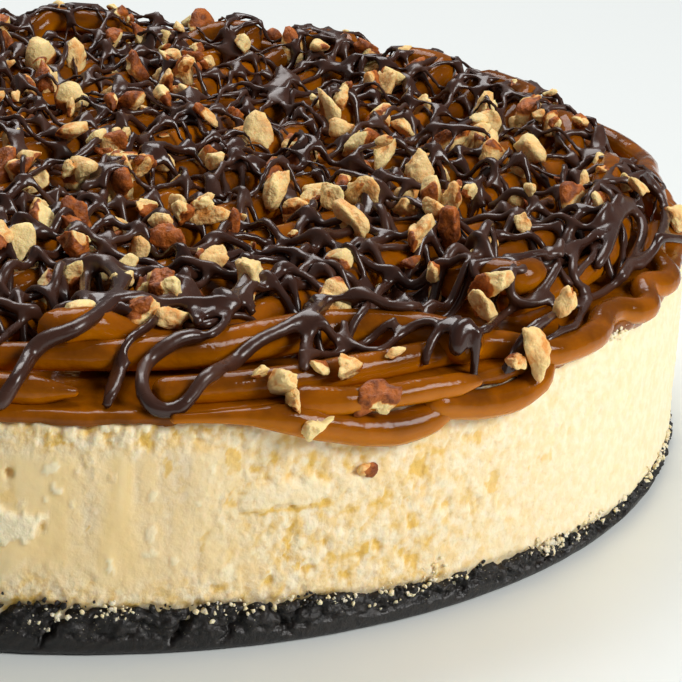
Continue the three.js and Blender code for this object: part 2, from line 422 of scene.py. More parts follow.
def melted(shell: Shell, voxel: float, swell: float, share: float) -> Shell:
    """A shell's parts run together, with fillets where they meet.

    The parts come swollen by a distance. Their outside is remeshed in even quads and relaxed: each
    point moves halfway to the mean of its neighbours, twice. Then it is drawn in along its normal by
    the same distance, which leaves the narrow creases filled, and edges are closed up where that
    changes the form least, until only a share of the triangles is left.

    Args:
        shell: closed parts that overlap.
        voxel: the size of the new quads.
        swell: how much too thick the parts are.
        share: how much of the triangles is kept.
    Returns:
        The one skin.
    """
    settings = {"mode": "VOXEL", "voxel_size": voxel * METRES}
    points, quads, edges = reworked(shell.points, shell.triangles(), "REMESH", settings)
    points = relaxed(points, edges, 2)
    points = relaxed(points - swell * outward_normals(points, quads), edges, 1)
    settings = {"ratio": share, "use_collapse_triangulate": True}
    points, triangles, _ = reworked(points, quads, "DECIMATE", settings)
    return Shell(points, [triangles], {})


def summed(index: Array, vectors: Array, count: int) -> Array:
    """For each of count points, the sum of the vectors whose index names it."""
    return np.stack([np.bincount(index, column, count) for column in vectors.T], axis=-1)


def relaxed(points: Array, edges: Array, times: int) -> Array:
    """Points moved halfway to the mean of their neighbours along edges, so many times.

    Args:
        points: the mesh's points.
        edges: the point numbers at both ends of each edge.
        times: how often they move.
    Returns:
        The moved points.
    """
    ends = np.concatenate([edges[:, 0], edges[:, 1]])
    others = np.concatenate([edges[:, 1], edges[:, 0]])
    share = np.maximum(np.bincount(ends, minlength=len(points)), 1)[:, None]
    for _ in range(times):
        points = 0.5 * points + 0.5 * summed(ends, points[others], len(points)) / share
    return points


def outward_normals(points: Array, quads: Array) -> Array:
    """Unit normals at points: the sum of the cross products of the diagonals of the quads about each.

    Args:
        points: the mesh's points.
        quads: the point numbers of its faces, one a row.
    Returns:
        The normals, one a row.
    """
    a, b, c, d = (points[quads[:, k]] for k in range(4))
    crosses = np.cross(c - a, d - b)
    total = summed(quads.ravel(), np.repeat(crosses, 4, axis=0), len(points))
    return total / (np.linalg.norm(total, axis=1, keepdims=True) + 1e-12)


# The camera


@dataclass(frozen=True)
class Lens:
    """The photograph's camera, solved from the curves of the cake's rim and base.

    It stands at a distance from the origin and an elevation above the table, in front of the cake,
    and looks along a heading from +Y towards +X and a dip below the level, rolled about its axis.
    """

    distance: float = 518.08
    elevation: float = math.radians(22.02)
    heading: float = math.radians(5.9098)
    dip: float = math.radians(20.9137)
    roll: float = math.radians(2.7428)
    focal_pixels: float = 2603.4
    picture: float = 682.0
    sensor: float = 36.0

    def place(self) -> Array:
        """Where the lens is, in millimetres."""
        return self.distance * np.array([0, -math.cos(self.elevation), math.sin(self.elevation)])

    def axes(self) -> Array:
        """The lens's right, up and forward directions, one a row.

        Forward follows from heading and dip. Right starts level and up square to both, and the
        roll then turns the two about forward.
        """
        level = math.cos(self.dip)
        ahead = [level * math.sin(self.heading), level * math.cos(self.heading), -math.sin(self.dip)]
        forward = np.array(ahead)
        flat = np.array([math.cos(self.heading), -math.sin(self.heading), 0])
        raised = np.cross(flat, forward)
        right = math.cos(self.roll) * flat + math.sin(self.roll) * raised
        return np.stack([right, np.cross(right, forward), forward])

    def rays(self, pixels: Array) -> Array:
        """Directions through pixels: forward, plus right and up by the pixel over the focal length.

        Args:
            pixels: picture coordinates, one pair a row.
        Returns:
            The directions, one a row, each long enough to go 1 mm forward.
        """
        right, up, forward = self.axes()
        across = (np.asarray(pixels, float) - self.picture / 2) / self.focal_pixels
        return forward + across[:, :1] * right - across[:, 1:] * up

    def on_wall(self, pixels: Array, radius: float = CAKE_RADIUS) -> Array:
        """Where rays first meet the upright cylinder of that radius: the near root of a quadratic.

        Args:
            pixels: picture coordinates, one pair a row.
            radius: the cylinder's radius.
        Returns:
            The points, one a row.
        """
        rays, start = self.rays(pixels), self.place()
        square = (rays[:, :2] ** 2).sum(1)
        half = rays[:, :2] @ start[:2]
        rest = start[:2] @ start[:2] - radius**2
        reach = (-half - np.sqrt(np.maximum(half**2 - square * rest, 0))) / square
        return start + reach[:, None] * rays

    def on_level(self, pixels: Array, height: float) -> Array:
        """Where rays through pixels meet the level plane at a height, one point a row."""
        rays, start = self.rays(pixels), self.place()
        return start + ((height - start[2]) / rays[:, 2])[:, None] * rays

    def build(self) -> None:
        """Makes the camera and gives it to the scene."""
        right, up, forward = self.axes()
        data = bpy.data.cameras.new("camera")
        data.sensor_width = self.sensor
        data.lens = self.focal_pixels * self.sensor / self.picture
        data.clip_start, data.clip_end = 0.01, 20
        camera = placed("camera", data)
        turn = Matrix([[right[i], up[i], -forward[i]] for i in range(3)])
        camera.matrix_world = Matrix.Translation(Vector(self.place() * METRES)) @ turn.to_4x4()
        bpy.context.scene.camera = camera
        log.info("camera: lens %.1f mm", data.lens)


# The height of what has been laid on the cake so far


@dataclass
class Terrain:
    """A square grid of heights over the cake, on which strands and nuts come to rest."""

    reach: float = 122.0
    cell: float = 0.5
    below: float = 30.0
    rounds: int = 80
    side: int = field(init=False)
    height: Array = field(init=False)

    def __post_init__(self) -> None:
        """Starts with the pool's top out to its rim, and a low level beyond."""
        self.side = int(2 * self.reach / self.cell) + 1
        line = np.linspace(-self.reach, self.reach, self.side)
        x, y = np.meshgrid(line, line, indexing="ij")
        radius = np.hypot(x, y)
        self.height = np.where(radius < CAKE_RADIUS - 1, POOL_TOP, self.below)

    def index(self, places: Array) -> Array:
        """The nearest grid numbers of places given as x and y."""
        return np.clip(np.rint((places + self.reach) / self.cell).astype(int), 0, self.side - 1)

    def at(self, places: Array) -> Array:
        """The heights at places, blended in straight shares between the four cells about each.

        Args:
            places: x and y, the last axis holding both.
        Returns:
            The heights, without the last axis.
        """
        scaled = np.clip((places + self.reach) / self.cell, 0, self.side - 1.001)
        corner = np.floor(scaled).astype(int)
        share = scaled - corner
        i, j, s, t = corner[..., 0], corner[..., 1], share[..., 0], share[..., 1]
        low = self.height[i, j] * (1 - s) + self.height[i + 1, j] * s
        high = self.height[i, j + 1] * (1 - s) + self.height[i + 1, j + 1] * s
        return low * (1 - t) + high * t

    def highest(self, places: Array, radius: float) -> Array:
        """The greatest height at each place and six more in a ring about it, at 0.6 of a radius.

        Args:
            places: x and y, one pair a row.
            radius: the radius of what lies there.
        Returns:
            One height a place.
        """
        turns = np.arange(6) * math.pi / 3
        ring = 0.6 * radius * np.stack([np.cos(turns), np.sin(turns)], axis=-1)
        around = places[:, None] + np.concatenate([[[0, 0]], ring])[None]
        return self.at(around).max(axis=1)

    def press(self, centres: Array, radii: Array, rise: Array) -> None:
        """Raises the grid to the tops of domes: the centre plus rise times the root of 1 - d2 / r2.

        Args:
            centres: the domes' middles, one a row.
            radii: each one's radius.
            rise: each one's height over its middle.
        """
        reach = int(math.ceil(radii.max() / self.cell))
        steps = np.arange(-reach, reach + 1)
        di, dj = (grid.ravel() for grid in np.meshgrid(steps, steps, indexing="ij"))
        middle = self.index(centres[:, :2])
        i, j = middle[:, :1] + di, middle[:, 1:] + dj
        x, y = i * self.cell - self.reach, j * self.cell - self.reach
        away = ((x - centres[:, :1]) ** 2 + (y - centres[:, 1:2]) ** 2) / radii[:, None] ** 2
        inside = (away < 1) & (i >= 0) & (j >= 0) & (i < self.side) & (j < self.side)
        tops = centres[:, 2:] + rise[:, None] * np.sqrt(np.maximum(1 - away, 0))
        np.maximum.at(self.height, (i[inside], j[inside]), tops[inside])

    def press_strand(self, line: Array, radii: Array) -> None:
        """Raises the grid to the top of a strand."""
        dense = evenly(np.column_stack([line, radii]), 0.5, along=3)
        self.press(dense[:, :3], dense[:, 3], dense[:, 3])

    def drape(self, plan: Array, radii: Array, sink: float, droop: float) -> Array:
        """The height of a soft strand laid over the grid along a line.

        It starts on the ground and is raised, again and again, to the middle of its neighbours
        less the droop, wherever that is higher. So it bridges gaps, sagging like a heavy string.

        Args:
            plan: x and y in order, one pair a row, evenly spaced.
            radii: the strand's radius at each.
            sink: how much of the radius it sinks into what it lies on.
            droop: how far it sags in one step.
        Returns:
            The line's points, one a row.
        """
        ground = self.highest(plan, float(radii.mean())) + (1 - sink) * radii
        ground = np.minimum(ground, TOPPING_TOP - radii - 0.2)
        height = ground.copy()
        for _ in range(self.rounds):
            height[1:-1] = np.maximum(ground[1:-1], (height[:-2] + height[2:]) / 2 - droop)
        height = np.maximum(smoothed(height[:, None], 1.2)[:, 0], ground - 0.3 * radii)
        return np.column_stack([plan, height])

    def seen(self, lens: Lens, pixels: Array) -> Array:
        """The points of the topping that pixels of the photograph show.

        Each ray is followed down from above the topping, until the grid is higher than the ray.
        A ray that passes the cake's rim ends on its wall instead.

        Args:
            lens: the photograph's camera.
            pixels: picture coordinates, one pair a row.
        Returns:
            The points, one a row.
        """
        rays, start = lens.rays(pixels), lens.place()
        levels = np.arange(TOPPING_TOP + 1, FILLING_TOP - 4, -0.2)
        reach = (levels[None] - start[2]) / rays[:, 2:]
        places = start[:2] + reach[..., None] * rays[:, None, :2]
        hit = self.at(places) >= levels[None]
        first = np.argmax(hit, axis=1)
        rows = np.arange(len(rays))
        points = np.column_stack([places[rows, first], levels[first]])
        wall = lens.on_wall(pixels)
        return np.where(hit.any(axis=1)[:, None], points, wall)


# Shader helpers


class Bench:
    """Places and joins nodes in one tree."""

    def __init__(self, tree: bpy.types.NodeTree) -> None:
        """Works in that tree."""
        self.tree = tree

    def add(self, kind: str, settings: dict[str, object] | None = None, **sockets: object) -> bpy.types.Node:
        """A new node.

        Args:
            kind: the node's type.
            settings: its properties.
            sockets: by input name, with _ for a space: a value, or an output to join to it.
        Returns:
            The node.
        """
        node = self.tree.nodes.new(kind)
        for key, value in (settings or {}).items():
            setattr(node, key, value)
        for key, value in sockets.items():
            self.feed(node.inputs[key.replace("_", " ")], value)
        return node

    def feed(self, socket: Socket, value: object) -> None:
        """Joins an output to the socket, or sets the socket's value."""
        if isinstance(value, Socket):
            self.tree.links.new(value, socket)
        else:
            socket.default_value = value

    def mix(self, share: object, low: object, high: object) -> Socket:
        """One colour blended into another.

        Args:
            share: how much of the second, from 0 to 1.
            low: the colour at share 0.
            high: the colour at share 1.
        Returns:
            The blended colour's output.
        """
        node = self.add("ShaderNodeMix", {"data_type": "RGBA"})
        for index, value in ((0, share), (6, low), (7, high)):
            self.feed(node.inputs[index], value)
        return node.outputs[2]

    def reading(self, name: str) -> Socket:
        """The piece's own value of that name."""
        return self.add("ShaderNodeAttribute", {"attribute_name": name}).outputs["Fac"]

    def sums(self, kind: str, first: object, second: object, clamp: bool = False) -> Socket:
        """One step of arithmetic.

        Args:
            kind: what is done, such as MULTIPLY or ADD.
            first: the first number or output.
            second: the second one.
            clamp: whether the result is kept between 0 and 1.
        Returns:
            The result's output.
        """
        node = self.add("ShaderNodeMath", {"operation": kind, "use_clamp": clamp})
        self.feed(node.inputs[0], first)
        self.feed(node.inputs[1], second)
        return node.outputs[0]

    def stretch(self, value: object, low: float, high: float) -> Socket:
        """A value eased from 0 at low to 1 at high."""
        settings = {"interpolation_type": "SMOOTHSTEP"}
        node = self.add("ShaderNodeMapRange", settings, Value=value, From_Min=low, From_Max=high)
        return node.outputs["Result"]


def colour(*levels: int) -> Colour:
    """A screen colour as a linear one, by the screen's standard curve.

    Args:
        levels: its red, green and blue, from 0 to 255.
    Returns:
        The same three from 0 to 1, and 1 for opaque.
    """
    shares = [level / 255 for level in levels]
    linear = [c / 12.92 if c <= 0.04045 else ((c + 0.055) / 1.055) ** 2.4 for c in shares]
    return (*linear, 1.0)


def grain_group() -> bpy.types.NodeTree:
    """The shared grain: a soft mask, fine specks and a height, over the piece's own coordinates."""
    if "surface_grain" in bpy.data.node_groups:
        return bpy.data.node_groups["surface_grain"]
    tree = bpy.data.node_groups.new("surface_grain", "ShaderNodeTree")
    for name, start in (("Coarse", 120.0), ("Fine", 900.0), ("Speck Share", 0.1)):
        socket = tree.interface.new_socket(name, in_out="INPUT", socket_type="NodeSocketFloat")
        socket.default_value = start
    for name in ("Mask", "Specks", "Height"):
        tree.interface.new_socket(name, in_out="OUTPUT", socket_type="NodeSocketFloat")
    bench = Bench(tree)
    inputs, outputs = bench.add("NodeGroupInput"), bench.add("NodeGroupOutput")
    place = bench.add("ShaderNodeTexCoord").outputs["Object"]
    coarse = bench.add("ShaderNodeTexNoise", Vector=place, Scale=inputs.outputs["Coarse"], Detail=4.0)
    fine = bench.add("ShaderNodeTexNoise", Vector=place, Scale=inputs.outputs["Fine"], Detail=3.0)
    cells = bench.add("ShaderNodeTexVoronoi", Vector=place, Scale=inputs.outputs["Fine"])
    speck = bench.sums("SUBTRACT", inputs.outputs["Speck Share"], cells.outputs["Distance"])
    bench.feed(outputs.inputs["Mask"], bench.stretch(coarse.outputs[0], 0.35, 0.65))
    bench.feed(outputs.inputs["Specks"], bench.sums("MULTIPLY", speck, 12.0, clamp=True))
    height = bench.sums("ADD", coarse.outputs[0], bench.sums("MULTIPLY", fine.outputs[0], 0.5))
    bench.feed(outputs.inputs["Height"], height)
    return tree


@dataclass(frozen=True)
class Finish:
    """What every finish shares: its name and slot, its gloss and how it places the shared grain."""

    name: str
    slot: str
    roughness: float
    coarse: float
    fine: float = 1500.0
    speck_share: float = 0.0
    bump_depth: float = 0.0006

    def start(self) -> tuple[bpy.types.Material, Bench, bpy.types.Node, bpy.types.Node]:
        """A new material with the grain joined to its bump.

        Returns:
            The material, its bench, its shader and its grain node.
        """
        material = bpy.data.materials.new(self.name)
        material.use_nodes = True
        bench = Bench(material.node_tree)
        shader = material.node_tree.nodes["Principled BSDF"]
        self.fix(shader, Roughness=self.roughness)
        grain = bench.add("ShaderNodeGroup", {"node_tree": grain_group()})
        self.fix(grain, Coarse=self.coarse, Fine=self.fine, Speck_Share=self.speck_share)
        relief = bench.add("ShaderNodeBump", Height=grain.outputs["Height"], Distance=self.bump_depth)
        bench.feed(shader.inputs["Normal"], relief.outputs[0])
        return material, bench, shader, grain

    @staticmethod
    def fix(node: bpy.types.Node, **values: object) -> None:
        """Sets constants on the node's own sockets, by name with _ for a space."""
        for key, value in values.items():
            node.inputs[key.replace("_", " ")].default_value = value

    def material(self) -> bpy.types.Material:
        """The finish as a material."""
        raise NotImplementedError

    def dress(self, piece: Piece) -> None:
        """Gives the piece this finish."""
        piece.data.materials.append(self.material())


@dataclass(frozen=True)
class CrumbFinish(Finish):
    """Black biscuit crumb: dry, with pale flecks where the filling has rubbed off on it."""

    name: str = "black_crumb"
    slot: str = "crumb"
    roughness: float = 0.38
    coarse: float = 700.0
    fine: float = 1700.0
    speck_share: float = 0.16
    bump_depth: float = 0.00035
    dark: Colour = colour(9, 7, 7)
    brown: Colour = colour(28, 22, 19)
    fleck: Colour = colour(205, 196, 165)

    def material(self) -> bpy.types.Material:
        """Brown where the grain's mask is high, and flecks where the value dust says."""
        material, bench, shader, grain = self.start()
        crumb = bench.mix(grain.outputs["Mask"], self.dark, self.brown)
        dust = bench.sums("MULTIPLY", bench.reading("dust"), grain.outputs["Specks"], clamp=True)
        bench.feed(shader.inputs["Base Color"], bench.mix(dust, crumb, self.fleck))
        dry = bench.sums("MULTIPLY", bench.reading("crumbly"), 0.15)
        bench.feed(shader.inputs["Roughness"], bench.sums("ADD", dry, self.roughness))
        return material


@dataclass(frozen=True)
class CheeseFinish(Finish):
    """Baked soft cheese: ivory crumb, paler where light is painted, deeper yellow pits and painted shade, and
    beige where a knife smoothed it.
    """

    name: str = "baked_cheese"
    slot: str = "cheese"
    roughness: float = 0.6
    coarse: float = 560.0
    speck_share: float = 0.1
    bump_depth: float = 0.00035
    ivory: Colour = colour(248, 232, 200)
    # The yellow of pits and stains, also used as painted shade in the wall's hollows
    yellow: Colour = colour(233, 192, 100)
    smeared: Colour = colour(246, 214, 150)
    # The pale colour of flakes, also used as painted light on the lit side and on raised crumbs
    flake: Colour = colour(252, 236, 200)
    browned: Colour = colour(120, 80, 50)

    def material(self) -> bpy.types.Material:
        """The values blend the colours, over the grain's mask: yellow also as painted shade, pale also as
        painted light.

        The grain's height is lessened where the knife went.
        """
        material, bench, shader, grain = self.start()
        torn = bench.sums("SUBTRACT", 1.0, bench.reading("smear"), clamp=True)
        relief = shader.inputs["Normal"].links[0].from_node
        kept = bench.sums("ADD", torn, 0.12)
        bench.feed(relief.inputs["Height"], bench.sums("MULTIPLY", grain.outputs["Height"], kept))
        softened = bench.sums("MULTIPLY", bench.sums("MULTIPLY", grain.outputs["Mask"], 0.5), torn)
        # Yellow for pits and stains, and painted shade in the hollows
        pits = bench.sums("ADD", bench.reading("pit"), softened, clamp=True)
        crumb = bench.mix(pits, self.ivory, self.yellow)
        knifed = bench.mix(bench.reading("smear"), crumb, self.smeared)
        # Pale flakes, and painted light where the wall is lit or stands out
        flaked_and_lit = bench.mix(bench.reading("flake"), knifed, self.flake)
        bench.feed(shader.inputs["Base Color"], bench.mix(bench.reading("brown"), flaked_and_lit, self.browned))
        self.fix(shader, Subsurface_Weight=0.4, Subsurface_Radius=(1.0, 0.7, 0.35), Subsurface_Scale=0.0015)
        self.fix(shader, Specular_IOR_Level=0.25)
        return material


@dataclass(frozen=True)
class CaramelFinish(Finish):
    """Soft caramel: glossy and a little translucent, deeper in colour in the valleys, with a painted glow on
    the ropes' undersides.
    """

    name: str = "soft_caramel"
    slot: str = "caramel"
    roughness: float = 0.11
    coarse: float = 120.0
    fine: float = 260.0
    # The colour of the painted glow on the ropes' undersides
    painted_glow: Colour = colour(192, 112, 2)
    middle: Colour = colour(146, 79, 3)
    deep: Colour = colour(106, 55, 3)

    def material(self) -> bpy.types.Material:
        """Paler caramel, a painted glow, where the value under says so, and deeper caramel on top, under a
        wet coat.

        The glow is painted light: the light that soaks in from above comes out at a rope's lower side,
        so it is paler there. The grain's mask varies the caramel on top.
        """
        material, bench, shader, grain = self.start()
        top = bench.mix(grain.outputs["Mask"], self.middle, self.deep)
        # Painted glow: paler on the ropes' undersides, for light that comes through the caramel
        share = bench.stretch(bench.reading("under"), 0.2, 0.85)
        bench.feed(shader.inputs["Base Color"], bench.mix(share, top, self.painted_glow))
        self.fix(shader, Subsurface_Weight=0.12, Subsurface_Radius=(1.0, 0.4, 0.06), Subsurface_Scale=0.002)
        self.fix(shader, Specular_IOR_Level=0.14, Coat_Weight=0.08, Coat_Roughness=0.04)
        return material


@dataclass(frozen=True)
class ChocolateFinish(Finish):
    """Set dark chocolate: satin, with a faint bloom."""

    name: str = "dark_chocolate"
    slot: str = "chocolate"
    roughness: float = 0.24
    coarse: float = 90.0
    fine: float = 500.0
    bump_depth: float = 0.00015
    dark: Colour = colour(53, 28, 19)
    bloom: Colour = colour(69, 42, 31)

    def material(self) -> bpy.types.Material:
        """Dark chocolate with bloom where the grain's mask is high."""
        material, bench, shader, grain = self.start()
        bench.feed(shader.inputs["Base Color"], bench.mix(grain.outputs["Mask"], self.dark, self.bloom))
        rough = bench.sums("MULTIPLY", grain.outputs["Mask"], 0.12)
        bench.feed(shader.inputs["Roughness"], bench.sums("ADD", rough, self.roughness - 0.04))
        return material


@dataclass(frozen=True)
class PecanFinish(Finish):
    """Chopped pecan: cream flesh, orange towards the skin, and brown skin."""

    name: str = "chopped_pecan"
    slot: str = "pecan"
    roughness: float = 0.5
    coarse: float = 600.0
    speck_share: float = 0.12
    flesh: Colour = colour(250, 222, 156)
    # Orange for toast near the skin, also used as painted shade in the flesh's hollows
    toasted_and_shade: Colour = colour(226, 148, 66)
    skin: Colour = colour(180, 98, 34)
    dark_skin: Colour = colour(122, 62, 26)

    def material(self) -> bpy.types.Material:
        """The value skin turns flesh to brown through orange, and toast and painted shade darken the flesh.

        The grain's mask turns some of the skin darker.
        """
        material, bench, shader, grain = self.start()
        strength = bench.sums("ADD", bench.sums("MULTIPLY", grain.outputs["Mask"], 0.7), 0.25)
        # Toast, and painted shade in the flesh's hollows
        toast = bench.sums("MULTIPLY", bench.reading("toast"), strength, clamp=True)
        flesh = bench.mix(toast, self.flesh, self.toasted_and_shade)
        edge = bench.mix(bench.stretch(bench.reading("skin"), 0.25, 0.6), flesh, self.toasted_and_shade)
        skin = bench.mix(grain.outputs["Mask"], self.skin, self.dark_skin)
        covered = bench.stretch(bench.reading("skin"), 0.5, 0.8)
        bench.feed(shader.inputs["Base Color"], bench.mix(covered, edge, skin))
        self.fix(shader, Subsurface_Weight=0.25, Subsurface_Radius=(1.0, 0.6, 0.3), Subsurface_Scale=0.0015)
        self.fix(shader, Specular_IOR_Level=0.3)
        return material


# The layers


def rim_height(angles: Array) -> Array:
    """The base's height at the rim: a mean, plus one wave and two in a turn, a ripple and a flat dip.

    Args:
        angles: angles about the cake's axis.
    Returns:
        The height at each.
    """
    turn = angles + math.radians(125)
    facing = turn_between(angles, math.radians(-22)) / math.radians(34)
    return 5.6 + 3 * np.cos(turn) + np.cos(2 * turn) + 0.35 * np.sin(13 * angles) - 1.1 * np.exp(-(facing**4))


def rim_angles(fine: float, coarse: float) -> Array:
    """Angles round the cake, close together on the side that faces the camera.

    The spacing is fine from -125 to 0 degrees and eases to coarse away from it. Its running sum,
    scaled to one whole turn, gives the angles.

    Args:
        fine: the spacing in front, in millimetres of rim.
        coarse: the spacing behind.
    Returns:
        The angles, rising, the last one just short of a turn after the first.
    """
    turns = np.linspace(-math.pi, math.pi, 20001)
    away = np.abs(turn_between(turns, math.radians(-62)))
    spacing = fine + (coarse - fine) * ease(away, math.radians(56), math.radians(76))
    count = np.concatenate([[0], np.cumsum(np.diff(turns) * CAKE_RADIUS / spacing[1:])])
    return np.interp(np.linspace(0, count[-1], int(count[-1]) + 1)[:-1], count, turns)


def around(angles: Array, radius: Array | float, height: Array | float) -> Array:
    """Points at angles about the cake's axis, at radii and heights."""
    radius, height = radius + 0 * angles + 0 * height, height + 0 * angles + 0 * radius
    return np.stack([radius * np.cos(angles), radius * np.sin(angles), height], axis=-1)


@dataclass
class CrumbBase:
    """The crumb base, with its tin-smoothed foot, slanting slits and crumbly top edge."""

    radius: float = CAKE_RADIUS
    band: float = 10.0
    slit_gap: float = 10.5
    slit_slant: float = 0.75
    slit_depth: float = 2.3
    foot_round: float = 1.5
    foot_inset: float = 1.2
    head_round: float = 0.8
    head_inset: float = 0.7
    wall_rings: int = 38

    def slits(self, arc: Array, height: Array) -> Array:
        """How deep the slanting slits are: a narrow bell about every slit's line.

        Args:
            arc: the distance along the rim.
            height: the height above the table.
        Returns:
            The depth.
        """
        depth = 0 * height
        for gap, slant, seed in ((self.slit_gap, self.slit_slant, 5), (2.3 * self.slit_gap, -0.7, 6)):
            slanted = arc - slant * (height - 3) + 0.35 * np.sin(2.1 * height + arc)
            number = np.rint(slanted / gap)
            spread = cell_value(np.stack([number, 0 * number, 0 * number], axis=-1), seed)
            other = cell_value(np.stack([number, 0 * number + 1, 0 * number], axis=-1), seed)
            away = slanted - gap * number - 0.45 * gap * (spread - 0.5)
            share = np.where(other > 0.25, 0.45 + 0.55 * other, 0.1)
            depth = np.maximum(depth, share * bump(away, 0, 0.42 + 0.35 * height / BASE_HEIGHT))
        return self.slit_depth * depth * ease(height, 1.0, 3.2)

    def build(self) -> Piece:
        """Makes and dresses the base.

        The wall's rings rise with the rim's height. Its radius is rounded off at the foot and at
        the top edge, and then loses the slits' depth. Above an uneven line it is crumbly: the
        nearest strewn points stand out as crumbs of three sizes.
        """
        angles = rim_angles(0.42, 1.3)
        share = np.linspace(0, 1, self.wall_rings)[:, None] ** 0.85
        arc = angles[None] * self.radius
        rim = around(angles, self.radius, 0.0)
        lumps, _ = grain_cells(rim, 1.8, 15)
        top = rim_height(angles) + 1.7 * layered_noise(rim, 6.5, 4, 11, 0.7) + 1.1 * (0.5 - lumps)
        top = np.maximum(top, 1.8)[None]
        height = share * top
        above_foot = np.clip(height / self.foot_round, 0, 1)
        foot = self.foot_inset * (1 - np.sqrt(np.clip(1 - (1 - above_foot) ** 2, 0, 1)))
        head = self.head_inset * np.clip((height - top + self.head_round) / self.head_round, 0, 1) ** 2
        place = around(angles[None], self.radius, height)
        line = 0.4 * top + 1.3 * layered_noise(place * np.array([1, 1, 0.4]), 6.0, 3, 19)
        crumbly = ease(height - line, -0.3, 0.6)
        large, owner = grain_cells(place, 1.7, 21)
        small, _ = grain_cells(place, 0.95, 27)
        crumbs = 1.7 * (0.5 - large) * (0.4 + owner) + 0.9 * (0.45 - small)
        crumbs = crumbs + 0.8 * layered_noise(place, 2.6, 3, 31)
        depth = self.slits(arc, height)
        smooth = 0.12 * layered_noise(place, 4.0, 2, 37)
        radius = self.radius - 0.4 - 0.2 * crumbly - foot - head - depth + crumbly * crumbs + smooth
        radius = np.minimum(radius, self.radius - 0.05)
        wall = around(angles[None], radius, height)
        under = np.stack([around(angles, r, 0.0) for r in (40.0, 80.0, 105.0, 112.5)])
        edge = around(angles, self.radius - 3.2, np.maximum(top[0] - 0.3, 1.5))
        lid = np.stack([edge, *(around(angles, r, BASE_HEIGHT) for r in (self.radius - self.band, 50.0))])
        dust = crumbly * ease(layered_noise(place, 5.0, 2, 41), -0.1, 0.4) + 0.9 * bump(height - top, 0, 0.9)
        ends = ((len(under), len(lid)), (0, 0))
        values = {"dust": np.pad(dust * (depth < 0.3), ends), "crumbly": np.pad(crumbly, ends, mode="edge")}
        shell = turned_shell(np.concatenate([under, wall, lid]), values)
        return shell.piece("crumb_base_piece", CrumbFinish(), "crumb_base")


@dataclass(frozen=True)
class Mark:
    """A mark on the filling: the pixel of its middle, and half its width and height in millimetres."""

    x: float
    y: float
    wide: float
    tall: float


# Pale flakes and yellow stains that stand out on the wall in the photograph
FLAKES = tuple(Mark(*numbers) for numbers in (
    (92, 517, 1.0, 0.9), (56, 493, 0.6, 0.5), (72, 507, 0.6, 0.9), (198, 506, 0.6, 0.8),
    (154, 497, 0.5, 0.8), (51, 467, 1.0, 0.7), (151, 543, 0.8, 1.6), (110, 568, 0.6, 1.4),
    (121, 598, 1.0, 1.2), (216, 472, 0.4, 1.3), (165, 520, 0.4, 0.5), (176, 562, 0.5, 0.6),
    (300, 545, 1.1, 0.8), (262, 560, 0.9, 1.0), (231, 575, 0.7, 1.1),
))
STAINS = tuple(Mark(*numbers) for numbers in (
    (233, 465, 0.8, 1.4), (246, 491, 1.8, 0.9), (233, 506, 0.8, 0.6), (87, 534, 0.6, 0.8),
    (55, 441, 1.0, 0.8), (11, 497, 1.6, 1.2), (169, 474, 0.6, 1.4), (205, 545, 0.5, 1.2),
    (269, 574, 0.8, 0.4), (300, 568, 0.9, 0.7), (480, 440, 0.8, 0.7), (495, 488, 0.9, 1.0),
    (545, 460, 2.0, 0.7), (414, 527, 0.8, 0.6), (366, 552, 1.0, 0.8),
))
# The smooth ridge in the middle of the front, and the shade under it, painted in yellow
RIDGE = Mark(300, 494, 9.5, 2.2)
RIDGE_SHADE = Mark(292, 511, 8.0, 0.5)
# At the left: a flap that stands out, a dent over it, and a brown spot at the foot
FLAP = Mark(8, 530, 4.6, 2.9)
DENT = Mark(9, 477, 1.0, 1.1)
BROWN_SPOT = Mark(38, 602, 1.4, 1.1)


@dataclass(frozen=True)
class WallPatterns:
    """What the relief and the colours of the filling's wall share, a number for each of its points.

    knife is 1 where it was smoothed, calm where the crumb is dense, rough where it is loose, upper
    along the top, and lit at the right of the front, where the wall is smoother and light is
    painted on it: paler, and less yellow.
    """

    arc: Array
    height: Array
    above_base: Array
    knife: Array
    calm: Array
    rough: Array
    lumps: Array
    crumbs: Array
    fine: Array
    gaps: Array
    torn: Array
    streaks: Array
    broad: Array
    flakes: Array
    upper: Array
    lit: Array
    ridge: Array
    flap: Array
    dent: Array


